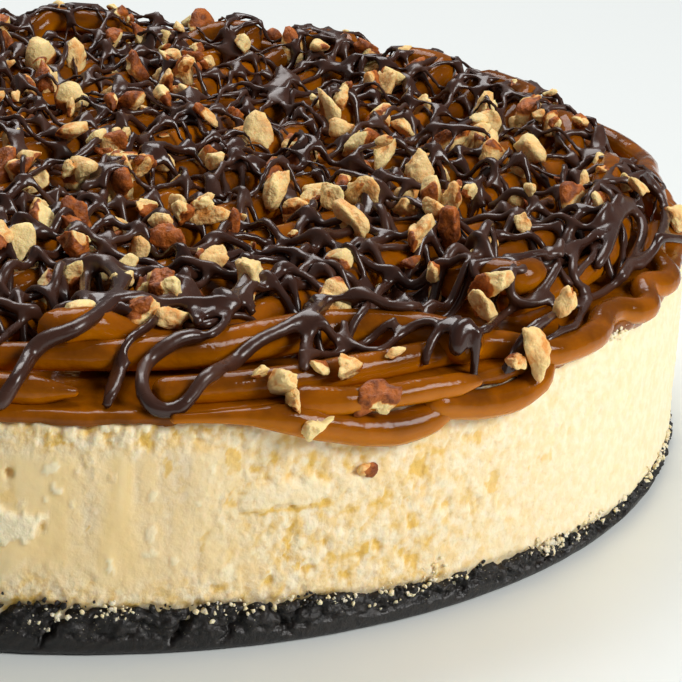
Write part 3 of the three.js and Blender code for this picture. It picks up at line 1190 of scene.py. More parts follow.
@dataclass
class CheeseFilling:
    """The filling: crumbly at the right, and smoothed by a knife at the front left."""

    radius: float = CAKE_RADIUS - 0.3
    band: float = 10.0
    wall_rings: int = 70
    lens: Lens = Lens()

    def patch(self, arc: Array, height: Array, mark: Mark, grain: float = 3.0, ragged: float = 0.7) -> Array:
        """A ragged patch on the wall, centred where a mark's pixel shows it.

        It ends where the fourth powers of across and up, over their halves, and a noise come to 1.

        Args:
            arc: the distance along the rim.
            height: the height above the table.
            mark: the patch's place and size.
            grain: how coarsely its edge is torn, in millimetres.
            ragged: how deeply its edge is torn.
        Returns:
            From 0 outside to 1 in the middle.
        """
        x, y, z = self.lens.on_wall(np.array([(mark.x, mark.y)]))[0]
        away = turn_between(arc / CAKE_RADIUS, math.atan2(y, x)) * CAKE_RADIUS
        torn = layered_noise(np.stack([arc + 0 * height, height, 0 * height], axis=-1), grain, 3, 131, 0.6)
        out = ((away / mark.wide) ** 4 + ((height - z) / mark.tall) ** 4) ** 0.25
        return ease(1.0 - out + ragged * torn, 0.0, 0.3)

    def patches(self, arc: Array, height: Array, marks: Sequence[Mark], ragged: float) -> Array:
        """The highest of many small patches at each point, each torn finely."""
        return np.max([self.patch(arc, height, mark, 1.6, ragged) for mark in marks], axis=0)

    def patterns(self, angles: Array, height: Array) -> WallPatterns:
        """Works the wall's patterns out, each from noise of its own over the wall's points.

        Crumbs are high near strewn points, each by its own number. Streaks are noise drawn out
        upright. Flakes are where a ragged noise is high under the knife, and where the photograph
        shows them. lit eases in and out again round the wall.

        Args:
            angles: each column's angle.
            height: the points' heights, in rings and columns.
        Returns:
            The patterns.
        """
        arc = angles[None] * CAKE_RADIUS
        place = around(angles[None], self.radius, height)
        knife = self.knife(angles, place, height)
        near, owner = grain_cells(place, 2.2, 61)
        calm = ease(layered_noise(place * np.array([1, 1, 1.7]), 15.0, 2, 95), 0.0, 0.35)
        squat = place * np.array([1, 1, 0.8])
        strewn = ease(layered_noise(squat, 3.2, 4, 101, 0.75), 0.42, 0.5) * knife
        ahead = turn_between(angles, math.radians(-68))
        return WallPatterns(
            arc=arc,
            height=height,
            above_base=height - rim_height(angles)[None],
            knife=knife,
            calm=calm,
            rough=(1 - knife) * (1 - 0.6 * calm),
            lumps=layered_noise(place, 6.0, 4, 51, 0.65),
            crumbs=(0.62 - near) * (0.3 + 0.9 * owner),
            fine=0.5 - grain_cells(place, 1.0, 71)[0],
            gaps=ease(near, 0.5, 0.85),
            torn=layered_noise(squat, 2.9, 3, 81, 0.65),
            streaks=layered_noise(place * np.array([1, 1, 0.16]), 5.0, 3, 91, 0.6),
            broad=ease(layered_noise(place * np.array([1, 1, 0.1]), 9.0, 2, 97), 0.05, 0.5) * knife,
            flakes=np.maximum(strewn, self.patches(arc, height, FLAKES, 2.2)),
            upper=bump(height, FILLING_TOP - 0.8, 1.8),
            # The lit side, on which light is painted in the wall's colours
            lit=(ease(ahead, 0.0, 0.55) - ease(ahead, 1.6, 3.0))[None],
            ridge=self.patch(arc, height, RIDGE),
            flap=self.patch(arc, height, FLAP),
            dent=self.patch(arc, height, DENT),
        )

    def relief(self, wall: WallPatterns) -> Array:
        """How far the wall stands out, in millimetres.

        That is lumps and crumbs less torn pits where it is rough, streaks and flakes where the knife
        went, plus the photograph's marks and the upper edge's crumbs, and less of all that where lit.

        Args:
            wall: the wall's patterns.
        Returns:
            One number a point.
        """
        pits = ease(-wall.torn, 0.2, 0.45)
        relief = wall.rough * (0.5 * wall.lumps + 0.5 * wall.crumbs + 0.5 * wall.fine - 0.4 * pits)
        relief += (1 - wall.rough) * 0.3 * wall.lumps + (1 - wall.rough) * (1 - wall.knife) * 0.3 * wall.fine
        relief += wall.knife * (0.6 * wall.streaks + 0.25 * wall.flakes + 0.4 * wall.broad)
        relief = relief * (1 - 0.8 * wall.ridge) + 0.5 * wall.ridge + 0.6 * wall.flap - 1.2 * wall.dent
        relief += wall.upper * (1.0 * wall.crumbs + 0.5 * wall.lumps + 0.7 * wall.fine)
        return relief * (1 - 0.4 * wall.lit)

    def tones(self, wall: WallPatterns, relief: Array) -> dict[str, Array]:
        """The values that the wall's material reads, from 0 to 1.

        Yellow is high in torn pits and at stains, and is painted shade in low places, in the gaps
        between crumbs, in the dent and under the ridge, less on the lit side. smear is high on the
        knife's streaks. The pale value is high on flakes and the flap, and is painted light on what
        stands out and on the lit side. brown is high at the spot and along the base.

        Args:
            wall: the wall's patterns.
            relief: how far the wall stands out.
        Returns:
            The four values, each one number a point.
        """
        # Painted shade: yellow in torn and low places, the gaps between crumbs and the dent, less on the lit
        # side
        pit = 0.4 * ease(-wall.torn, 0.22, 0.5) * (1 - 0.8 * wall.knife) * (1 - 0.4 * wall.calm)
        low = 0.2 * ease(-wall.lumps, 0.0, 0.5) * (1 - wall.knife)
        pit += (0.35 * ease(-relief, 0.1, 0.6) + 0.4 * wall.gaps) * wall.rough + 0.8 * wall.dent + low
        pit = pit * (1 - 0.65 * wall.lit)
        pit += 0.75 * self.patches(wall.arc, wall.height, STAINS, 1.8)
        # Painted shade under the ridge, in yellow
        pit = pit * (1 - wall.ridge) + 0.6 * self.patch(wall.arc, wall.height, RIDGE_SHADE)
        # Pale flakes and the flap, and painted light on what stands out and on the lit side
        flake = 0.7 * wall.flakes + 0.4 * ease(relief, 0.1, 0.6) * (wall.rough + wall.upper)
        flake = flake + 0.85 * wall.flap + 0.4 * ease(wall.streaks, 0.1, 0.5) * wall.knife
        flake += 0.55 * wall.lit + 0.3 * wall.broad
        brown = 0.4 * self.patch(wall.arc, wall.height, BROWN_SPOT)
        brown = brown + 0.1 * ease(-wall.streaks, 0.05, 0.4) * wall.knife
        brown = brown + 0.1 * (1 - ease(wall.above_base + wall.torn, 0.0, 3.0)) * (1 - wall.lit)
        smear = np.clip(wall.knife * (0.7 + 1.0 * wall.streaks), 0, 1) * (1 - wall.flap) + 0.15 * wall.ridge
        tones = {"pit": pit, "smear": smear, "flake": flake, "brown": brown}
        return {name: np.clip(tone, 0, 1) for name, tone in tones.items()}

    def build(self) -> Piece:
        """Makes and dresses the filling.

        The wall's radius is the cake's plus the relief, and is drawn in at the top and over the base.
        """
        angles = rim_angles(0.36, 1.3)
        share = np.linspace(0, 1, self.wall_rings)[:, None]
        low = np.maximum(rim_height(angles)[None] - 2.6, 0.9)
        height = low + share * (FILLING_TOP - low)
        wall = self.patterns(angles, height)
        relief = self.relief(wall)
        radius = np.minimum(self.radius - 0.6 + relief, self.radius + 0.12)
        radius = radius - 0.9 * ease(height, FILLING_TOP - 1.2, FILLING_TOP)
        radius = radius - 1.1 * (1 - ease(wall.above_base, -0.9, 1.5))
        inside = self.radius - self.band
        under = [around(angles, r, BASE_HEIGHT + 0.2) for r in (50.0, inside)]
        under.append(around(angles, inside + 6, low[0] + 0.4))
        over = [around(angles, r, FILLING_TOP) for r in (self.radius - 4, 60.0)]
        rings = np.concatenate([np.stack(under), around(angles[None], radius, height), np.stack(over)])
        ends = ((len(under), len(over)), (0, 0))
        values = {name: np.pad(tone, ends) for name, tone in self.tones(wall, relief).items()}
        return turned_shell(rings, values).piece("cheese_filling_piece", CheeseFinish(), "cheese_filling")

    def knife(self, angles: Array, place: Array, height: Array) -> Array:
        """Where the knife smoothed the wall, from 0 to 1.

        That is from a ragged line at the front round to the left, away from the wall's foot and
        its top. The patches are ragged where a noise says so.

        Args:
            angles: each column's angle.
            place: the wall's points.
            height: their heights.
        Returns:
            One number a point.
        """
        ragged = 9.0 * layered_noise(place * np.array([1, 1, 0.6]), 9.0, 5, 3, 0.65)
        start = ease(-turn_between(angles, math.radians(-30))[None] * CAKE_RADIUS + ragged, 90, 108)
        end = ease(turn_between(angles, math.radians(-150))[None] * CAKE_RADIUS + ragged, 0, 10)
        level = ease(height - rim_height(angles)[None] + 0.5 * ragged, 1.5, 8.5)
        level = level * (1 - ease(height + 0.35 * ragged, 32.0, 37.0))
        worn = 1 - 0.9 * ease(layered_noise(place * np.array([1, 1, 0.8]), 7.0, 4, 111, 0.65), 0.2, 0.4)
        inside = np.abs(turn_between(angles, math.radians(-90)))[None] < math.radians(75)
        return np.clip(start * end * level * worn, 0, 1) * inside


@dataclass
class LooseCrumbs:
    """Small crumbs that cling along the joint of base and filling, and along the filling's top."""

    name: str
    finish: Finish
    count: int
    seed: int
    smallest: float = 0.4
    largest: float = 1.9
    rim_share: float = 0.0
    cluster: int = 7

    def build(self) -> Piece:
        """Makes and dresses the crumbs.

        Each is a block of twenty triangles whose corners are drawn in or out, stretched and turned.
        They lie in clusters. A cluster's height is about the base's rim, on a bell, or about the
        filling's top, and its crumbs are strewn on a narrower bell.
        """
        draw = np.random.default_rng(self.seed)
        corners, faces = ball(1)
        clusters = self.count // self.cluster
        middle = draw.uniform(-math.pi, math.pi, clusters)
        low = rim_height(middle) - 0.2 + draw.normal(0, 0.9, clusters)
        high = FILLING_TOP - 0.6 - np.abs(draw.normal(0, 0.8, clusters))
        level = np.where(draw.random(clusters) < self.rim_share, high, low)
        angles = np.repeat(middle, self.cluster) + draw.normal(0, 1.5, clusters * self.cluster) / CAKE_RADIUS
        height = np.repeat(level, self.cluster) + draw.normal(0, 0.7, clusters * self.cluster)
        height = np.clip(height, 0.8, FILLING_TOP)
        count = len(angles)
        sizes = self.smallest + (self.largest - self.smallest) * draw.beta(1.1, 3.0, count)
        centre = around(angles, CAKE_RADIUS - 0.6 - 0.1 * sizes, height)
        body = corners[None] * draw.uniform(0.4, 1.25, (count, len(corners), 1))
        body = body * draw.uniform(0.6, 1.2, (count, 1, 3))
        turns, _ = np.linalg.qr(draw.normal(size=(count, 3, 3)))
        turns *= np.sign(np.linalg.det(turns))[:, None, None]
        body = np.einsum("nij,nkj->nki", turns, body) * sizes[:, None, None] / 2 + centre[:, None]
        index = faces[None] + len(corners) * np.arange(count)[:, None, None]
        quiet = np.zeros(count * len(corners))
        values = {"crumbly": quiet + 1, "flake": quiet + 0.25}
        return Shell(body.reshape(-1, 3), [index.reshape(-1, 3)], values).piece(self.name, self.finish)


def ball(level: int) -> tuple[Array, Array]:
    """A unit ball: twenty triangles at level 1, and four times as many at each level after it.

    Args:
        level: how fine it is.
    Returns:
        Its points, and the point numbers of its triangles.
    """
    work = bmesh.new()
    bmesh.ops.create_icosphere(work, subdivisions=level, radius=1.0)
    points = np.array([v.co[:] for v in work.verts])
    faces = np.array([[v.index for v in f.verts] for f in work.faces])
    work.free()
    return points, faces


# Where the outer rope folds out over the rim: each fold's middle and half width in degrees, and its share
# of the widest
RIM_FOLDS = (
    (-36.0, 16.0, 0.55), (-45.5, 6.6, 0.95), (-33.5, 3.2, 1.0), (-25.8, 3.2, 0.9), (-11.5, 3.0, 0.6),
    (12, 7, 0.5), (31, 3, 0.9), (44, 8, 0.8), (78, 4, 0.6), (112, 9, 0.8), (139, 3, 0.8), (149, 4, 0.7),
    (197, 7, 0.7), (221, 3, 0.9), (236, 5, 0.7),
)


def fold(angles: Array) -> Array:
    """How far the outer rope folds out at angles, from 0 to 1: the highest of the folds' flat bells."""
    return np.max([share * flat_bell(angles, middle, half) for middle, half, share in RIM_FOLDS], axis=0)


class Lies(Enum):
    """Whether a rope lies on top, at a height, or hangs on the wall, at a radius."""

    ON_TOP = 0
    ON_WALL = 1


@dataclass(frozen=True)
class RimRope:
    """A rope that stands out in the photograph: pixels along its middle, and its radius at both ends."""

    pixels: Pixels
    lies: Lies
    place: float
    start: float
    end: float

    def line(self, lens: Lens) -> Array:
        """The middle line: where rays through the pixels meet the rope's level or its cylinder.

        Args:
            lens: the photograph's camera.
        Returns:
            Its points, one a row.
        """
        pixels = evenly(np.array(self.pixels, float), 8.0)
        if self.lies is Lies.ON_TOP:
            found = lens.on_level(pixels, self.place)
        else:
            found = lens.on_wall(pixels, self.place)
        return smoothed(evenly(found, 1.0, along=3), 3.0)


FRONT_ROPE = RimRope(
    ((-24, 357), (40, 356), (100, 356), (150, 354), (200, 350), (250, 342), (300, 332), (356, 326),
     (400, 328), (440, 335), (466, 344), (480, 349)), Lies.ON_TOP, place=45.3, start=2.45, end=3.45)
HANGING_ROPES = (
    RimRope(((170, 419), (210, 417), (250, 416), (289, 418), (335, 427), (377, 431), (409, 427), (440, 412),
             (462, 400)), Lies.ON_WALL, place=115.2, start=0.8, end=2.7),
    RimRope(((425, 402), (452, 405), (483, 405), (518, 397), (541, 378), (552, 362)),
            Lies.ON_WALL, place=115.4, start=2.4, end=2.6),
    RimRope(((290, 401), (340, 402), (390, 396), (430, 389), (458, 384), (482, 380)),
            Lies.ON_TOP, place=41.4, start=2.5, end=1.9),
)


def field_reach(angles: Array) -> Array:
    """How far out the ropes of the field go: less far in front, where the front rope swings inwards."""
    return 99.0 - 13.0 * flat_bell(angles, -66, 17)


def chord_end(reach: Callable[[Array], Array], angle: float, across: float, sign: int) -> float:
    """How far along a straight pass goes before it meets an outline about the cake's axis.

    It starts from the end on a circle and is set again, a few times, to the outline's reach there.

    Args:
        reach: the outline's radius at angles.
        angle: the pass's direction.
        across: the pass's distance from the axis.
        sign: 1 for the end ahead, -1 for the end behind.
    Returns:
        The distance along, ahead of the middle or behind it.
    """
    end = sign * math.sqrt(max(CAKE_RADIUS**2 - across**2, 16))
    for _ in range(6):
        radius = float(reach(np.array([angle + math.atan2(across, end)]))[0])
        end = sign * math.sqrt(max(radius**2 - across**2, 16))
    return end


@dataclass
class CaramelTopping:
    """The caramel pool, the ropes piped round its rim and the ropes piped to and fro across it."""

    lens: Lens
    terrain: Terrain
    radius: float = 2.9
    rim_radius: float = 2.45
    sides: int = 12
    step: float = 1.7
    crossings: int = 17
    sink: float = 0.1
    droop: float = 0.015

    def pool(self) -> Shell:
        """The pool: a disc whose edge is rounded and hangs a little over the rim, here and there.

        Its reach is a mean plus the folds' share and noise, less where one bell shows the filling
        and full out where another is. Its edge is a half turn from its drop to its top.
        """
        angles = rim_angles(0.8, 1.4)
        arc = around(angles, CAKE_RADIUS, 0.0)
        gap = flat_bell(angles, -68, 5)
        full = flat_bell(angles, -57, 6)
        reach = CAKE_RADIUS - 1.0 + 0.5 * fold(angles) + 1.1 * layered_noise(arc, 9.0, 4, 7, 0.65) - 1.2 * gap
        reach = reach * (1 - full) + (CAKE_RADIUS + 0.4) * full
        drop = 0.35 + 1.6 * fold(angles) + 1.1 * layered_noise(arc, 6.0, 3, 9, 0.6) - 0.6 * gap
        drop = np.maximum(drop, 0.1)
        turns = np.radians(np.linspace(-80, 90, 12))[:, None]
        edge_radius = reach[None] - 1.3 + 1.3 * np.cos(turns)
        middle = (POOL_TOP + FILLING_TOP - drop) / 2
        half = (POOL_TOP - FILLING_TOP + drop) / 2
        edge = around(angles[None], edge_radius, middle[None] + half[None] * np.sin(turns))
        rings = [around(angles, r, FILLING_TOP + 0.05) for r in (50.0, 100.0, 112.0)] + list(edge)
        for radius in (111.0, 106.0, 100.0, 80.0, 40.0):
            place = around(angles, radius, POOL_TOP)
            place[:, 2] += 0.3 * layered_noise(place, 14.0, 2, 13)
            rings.append(place)
        rings = np.stack(rings)
        return turned_shell(rings, {"under": 0 * rings[..., 0] + 0.3})

    def outer_rope(self) -> Array:
        """The outer rope's middle line, once round from one end to the other at the front left.

        Its radius follows sways of 3 and 8 waves, and swings out at the folds, where it also sinks.
        It is kept inside a square about the cake, so that it stands out no further than the pool.
        """
        angles = np.radians(np.arange(-85.0, 269.5, 0.35))
        radius = 108.6 + 0.8 * np.sin(3 * angles) + 0.5 * np.sin(8 * angles + 1) + 7.0 * fold(angles)
        square = np.maximum(np.abs(np.cos(angles)), np.abs(np.sin(angles)))
        widest = (CAKE_RADIUS - 0.2 - self.rim_radius) / square
        height = POOL_TOP + 1.9 + 0.25 * np.sin(5 * angles) - 2.4 * fold(angles)
        return smoothed(evenly(around(angles, np.minimum(radius, widest), height), 1.0, along=3), 1.6)

    def inner_rope(self) -> Array:
        """The inner rope's middle line, which ends as the thick front rope."""
        angles = np.radians(np.arange(-47.0, 252.0, 0.8))
        radius = 101.0 + 1.2 * np.sin(3 * angles + 2.6) + 0.5 * np.sin(8 * angles)
        ring = around(angles, radius, 44.5 + 0.4 * np.sin(5 * angles))
        return smoothed(evenly(np.concatenate([ring, FRONT_ROPE.line(self.lens)]), 1.0, along=3), 3.0)

    def field_rope(self) -> Array:
        """The plan of the rope piped to and fro: straight passes, swayed, joined by round turns.

        Pass i lies at its own distance across and runs the other way from the pass before. The
        whole line is then smoothed, which rounds off the turns.
        """
        passes = []
        for index in range(self.crossings):
            across = (index - (self.crossings - 1) / 2) * ROPE_PITCH
            near, far = (chord_end(field_reach, ROPE_ANGLE, across, sign) for sign in (-1, 1))
            along = np.arange(near, far, 1.0)
            number = index - 1
            sway = 1.9 * np.sin(along / 17 + 1.7 * number) + 0.9 * np.sin(along / 7 + number)
            line = np.stack([along, across + sway], -1)
            passes.append(line if index % 2 else line[::-1])
        return turned(smoothed(evenly(np.concatenate(passes), 1.0), 2.2), ROPE_ANGLE)

    def lay(self, line: Array, radii: Array) -> Shell:
        """One rope, which the terrain then carries."""
        self.terrain.press_strand(line, radii)
        return swept_shell(line, radii, self.sides, self.step)

    def build(self) -> Piece:
        """Lays the pool and the ropes, and dresses them.

        Each radius is uneven by a noise or a wave along the rope. The outer rope tapers off at its
        end, the inner one thickens into the front rope, and a hanging one thickens and tapers off.
        """
        outer, inner = self.outer_rope(), self.inner_rope()
        uneven = 1 + 0.16 * layered_noise(outer, 10.0, 3, 23)
        tip = 1 - 0.75 * ease(np.arange(len(outer)) - len(outer), -9, 0)
        shells = [self.pool(), self.lay(outer, self.rim_radius * uneven * tip)]
        swelling = ease(np.arange(len(inner)) - len(inner), -75, -25)
        thick = FRONT_ROPE.start + (FRONT_ROPE.end - FRONT_ROPE.start) * swelling
        shells.append(self.lay(inner, thick * (1 + 0.05 * np.sin(np.arange(len(inner)) / 9))))
        for rope in HANGING_ROPES:
            line = rope.line(self.lens)
            share = np.linspace(0, 1, len(line))
            radii = rope.start + (rope.end - rope.start) * ease(share, 0.05, 0.5)
            radii = radii * (1 - 0.55 * ease(share, 0.86, 1)) * (1 + 0.14 * layered_noise(line, 8.0, 3, 29))
            shells.append(self.lay(line, radii))
        plan = self.field_rope()
        spots = np.column_stack([plan, np.zeros(len(plan))])
        radii = self.radius * (1 + 0.16 * layered_noise(spots, 16.0, 3, 17))
        line = self.terrain.drape(plan, radii, self.sink, self.droop)
        shells.append(self.lay(line, radii))
        return Shell.joined(shells).piece("caramel_ropes", CaramelFinish(), "caramel_topping")


@dataclass(frozen=True)
class DrizzlePass:
    """One drizzling to and fro: its direction, the lines' spacing, how far and how finely they sway,
    the strand's radius, and how much further inside it turns back in front.
    """

    angle: float
    pitch: float
    sway: float
    wave: float
    radius: float
    seed: int
    inset: float = 0.0


def drizzle_reach(angles: Array, inset: float) -> Array:
    """How far out the drizzle turns back: nearly at the rim, but well inside it at the front left.

    Args:
        angles: angles about the cake's axis.
        inset: how much further inside it turns back in front.
    Returns:
        The radius at each angle.
    """
    left = (14.0 + inset) * flat_bell(angles, -95, 38)
    right = (4.0 + inset) * flat_bell(angles, -38, 20)
    return 108.0 - left - right


LOWER_PASSES = (
    DrizzlePass(math.radians(17), pitch=9.5, sway=5.5, wave=24.0, radius=0.85, seed=3),
    DrizzlePass(math.radians(104), pitch=8.0, sway=5.0, wave=19.0, radius=0.9, seed=4),
)
UPPER_PASSES = (
    DrizzlePass(math.radians(63), pitch=8.5, sway=5.5, wave=19.0, radius=0.95, seed=6, inset=2.0),
    DrizzlePass(math.radians(140), pitch=11.0, sway=7.0, wave=18.0, radius=0.85, seed=8, inset=2.0),
)


# Strands that stand out in the photograph: pixels along each, and its radius in millimetres
SHOWN_STRANDS = (
    (((330, 300), (309, 316), (282, 330), (257, 341), (228, 367), (205, 376), (192, 396), (176, 413),
      (161, 413), (147, 402), (141, 388), (143, 367), (155, 354), (176, 340), (195, 334), (206, 341)), 1.35),
    (((128, 268), (121, 284), (112, 304), (93, 318), (72, 331), (46, 339), (33, 350), (22, 370), (7, 394),
      (-6, 412)), 1.5),
    (((121, 288), (116, 272), (104, 263), (90, 268), (84, 284), (86, 306)), 1.2),
    (((170, 304), (150, 325), (130, 338), (120, 355), (113, 377), (108, 399), (106, 409)), 0.9),
    (((112, 399), (120, 380), (128, 356)), 0.7),
    (((30, 316), (12, 330), (-8, 348)), 0.8),
    (((206, 338), (224, 326), (234, 300), (240, 278), (247, 280), (250, 300), (252, 316)), 0.85),
    (((176, 280), (188, 300), (200, 326)), 1.1),
    (((323, 313), (309, 330), (305, 350), (304, 372)), 1.1),
    (((322, 318), (330, 334), (345, 348)), 0.8),
    (((400, 318), (386, 325), (365, 344), (331, 355), (296, 352)), 0.8),
    (((440, 322), (420, 321), (398, 336), (382, 351), (360, 350), (344, 338), (344, 318)), 0.85),
    (((464, 318), (446, 322), (434, 336), (427, 352), (424, 368)), 0.95),
    (((474, 322), (461, 326), (456, 340), (457, 358)), 1.4),
    (((481, 329), (488, 338), (490, 352), (488, 372), (487, 388)), 0.85),
    (((487, 392), (498, 390), (508, 384), (516, 368), (521, 350), (534, 330), (552, 314)), 0.95),
    (((546, 322), (524, 336), (512, 352), (504, 376)), 0.75),
    (((520, 346), (534, 328), (551, 316), (576, 302), (598, 296), (620, 280)), 0.85),
    (((620, 280), (634, 258), (643, 238), (643, 220), (632, 207), (619, 213), (611, 238), (603, 258),
      (594, 270)), 1.15),
    (((592, 296), (582, 312), (574, 330), (560, 342), (548, 350)), 0.75),
    (((644, 174), (660, 194), (667, 216), (661, 236), (650, 256), (636, 268)), 1.1),
    (((652, 236), (668, 238), (690, 240)), 0.9),
    (((560, 262), (548, 284), (530, 300), (506, 312), (486, 330)), 0.9),
    (((516, 262), (508, 282), (512, 300), (532, 306), (556, 296)), 0.95),
    (((580, 244), (572, 262), (574, 284), (590, 290)), 0.9),
)


@dataclass
class ChocolateDrizzle:
    """The chocolate strands, laid one pass over the other on the terrain."""

    lens: Lens
    terrain: Terrain
    sides: int = 9
    step: float = 0.85
    sink: float = 0.3
    droop: float = 0.16
    swell: float = 0.12
    drift: float = 9.0
    drift_width: float = 40.0
    spacing: float = 0.7
    widest: float = 106.0
    shortened: float = 9.0
    front: float = -25.0
    valleys: int = 15
    puddle_radius: float = 2.4
    near: list[Shell] = field(default_factory=list)
    far: list[Shell] = field(default_factory=list)

    def plan(self, run: DrizzlePass) -> Array:
        """A pass's line seen from above.

        Lines side by side run to and fro as far as the drizzle reaches, a few millimetres short at
        either end and unevenly spaced by a sine of the line's number. They sway by noise. The whole
        is smoothed so that the turns are round, and drifts by a much wider noise, so that lines
        bunch and part.

        Args:
            run: the pass.
        Returns:
            x and y in order, one pair a row.
        """
        count = int(2 * self.widest / run.pitch)
        lines = []
        for index in range(count):
            across = (index - (count - 1) / 2 + 0.3 * math.sin(5.1 * index + run.seed)) * run.pitch
            reach = partial(drizzle_reach, inset=run.inset)
            near, far = (chord_end(reach, run.angle, across, sign) for sign in (-1, 1))
            short = self.shortened / 2 * (1 + math.sin(2.4 * index + run.seed))
            along = np.arange(near + short, far - self.shortened + short, self.spacing)
            spot = np.stack([along, 0 * along + 31.7 * index, 0 * along + run.seed], -1)
            sway = run.sway * layered_noise(spot, run.wave, 2, run.seed)
            line = np.stack([along, across + sway], -1)
            lines.append(line if index % 2 else line[::-1])
        plan = smoothed(evenly(np.concatenate(lines), self.spacing), 1.8)
        spot = np.column_stack([plan, np.full(len(plan), 3.0 * run.seed)])
        wander = [layered_noise(spot, self.drift_width, 2, run.seed + k) for k in (21, 22)]
        plan = plan + self.drift * np.stack(wander, -1)
        return evenly(turned(plan, run.angle), self.spacing)

    def keep(self, line: Array, radii: Array, flat: float = 1.0) -> None:
        """Keeps a strand, swollen for melting, cut where it passes between the front and the rear.

        Args:
            line: the strand's middle line.
            radii: its radius at each point.
            flat: its height over its width.
        """
        in_front = line[:, 1] < self.front
        cuts = np.flatnonzero(np.diff(in_front)) + 1
        for run in np.split(np.arange(len(line)), cuts):
            span = slice(max(run[0] - 1, 0), run[-1] + 2)
            if len(line[span]) > 3:
                shell = swept_shell(line[span], radii[span] + self.swell, self.sides, self.step, flat)
                (self.near if in_front[run[0]] else self.far).append(shell)

    def passes(self, runs: Iterable[DrizzlePass]) -> None:
        """Drapes the passes over the terrain one after the other, each raising it for the next.

        The thickness changes slowly along a pass, by a noise.

        Args:
            runs: the passes, in order.
        """
        for run in runs:
            plan = self.plan(run)
            spot = np.column_stack([plan, np.full(len(plan), float(run.seed))])
            radii = run.radius * (1 + 0.4 * layered_noise(spot, 14.0, 3, run.seed + 9))
            line = self.terrain.drape(plan, radii, self.sink, self.droop)
            self.terrain.press_strand(line, radii)
            self.keep(line, radii)

    def puddles_and_shade(self, seed: int) -> None:
        """Chocolate along the valleys between the ropes, partly run down there and partly a dark sheet
        standing in for their shade: a line along each valley, thick where a noise is high.

        Args:
            seed: which noise to use.
        """
        c, s = math.cos(ROPE_ANGLE), math.sin(ROPE_ANGLE)
        for index in range(self.valleys):
            across = (index - self.valleys // 2) * ROPE_PITCH
            half = math.sqrt(98.0**2 - across**2) - 4
            along = np.arange(-half, half, 1.0)
            plan = np.stack([along * c - across * s, along * s + across * c], -1)
            spot = np.column_stack([plan, np.zeros(len(plan))])
            radii = self.puddle_radius * ease(layered_noise(spot, 13.0, 2, seed + index), -0.1, 0.3)
            ground = self.terrain.at(plan)
            line = np.column_stack([plan, smoothed(np.minimum(ground, POOL_TOP + 1.2)[:, None], 2)[:, 0]])
            present = np.split(np.arange(len(plan)), np.flatnonzero(np.diff(radii > 0.5)) + 1)
            for run in present:
                if radii[run[0]] > 0.5 and len(run) > 4:
                    self.terrain.press(line[run], radii[run], 0.5 * radii[run])
                    self.keep(line[run], radii[run], flat=0.5)

    def lay_shown(self, pixels: Pixels, radius: float) -> None:
        """Lays a strand that the photograph's camera sees along a line of pixels.

        Each pixel's ray is followed as far as it meets what lies there. The least of each seven
        neighbouring distances is taken, these are smoothed along the line, and most of the radius is
        taken off, so that nothing hides the strand. It is kept inside the cake's round and height.

        Args:
            pixels: picture coordinates in order.
            radius: the strand's radius.
        """
        dense = smoothed(evenly(np.array(pixels, float), 3.0), 2.0)
        radii = radius * (1 + 0.08 * np.sin(np.arange(len(dense)) / 5))
        rays, start = self.lens.rays(dense), self.lens.place()
        found = self.terrain.seen(self.lens, dense)
        reach = ((found - start) * rays).sum(axis=1) / (rays**2).sum(axis=1)
        padded = np.pad(reach, 3, mode="edge")
        reach = np.min([padded[k:k + len(reach)] for k in range(7)], axis=0)
        reach = smoothed(reach[:, None], 3.0)[:, 0] - 0.8 * radii
        highest = (TOPPING_TOP - 0.2 - radii - start[2]) / rays[:, 2]
        line = start + np.maximum(reach, highest)[:, None] * rays
        outer = np.hypot(line[:, 0], line[:, 1])
        line[:, :2] *= np.minimum(1, (CAKE_RADIUS + 0.4 - radii) / outer)[:, None]
        even = evenly(np.column_stack([line, radii]), 0.8, along=3)
        self.terrain.press_strand(even[:, :3], even[:, 3])
        self.keep(even[:, :3], even[:, 3])

    def melt(self, name: str, voxels: tuple[float, float], shares: tuple[float, float]) -> None:
        """The strands kept so far, melted together.

        Args:
            name: the pieces' name, before front and rear.
            voxels: how finely the front and the rear are made.
            shares: how much of their triangles is kept.
        """
        for place, shells, voxel, share in zip(("front", "rear"), (self.near, self.far), voxels, shares):
            if shells:
                skin = melted(Shell.joined(shells), voxel, self.swell, share)
                skin.piece(f"{name}_{place}", ChocolateFinish())
            shells.clear()


class Lay(Enum):
    """When a nut lands: before the chocolate, halfway through it, or after it."""

    UNDER = 0
    BETWEEN = 1
    OVER = 2


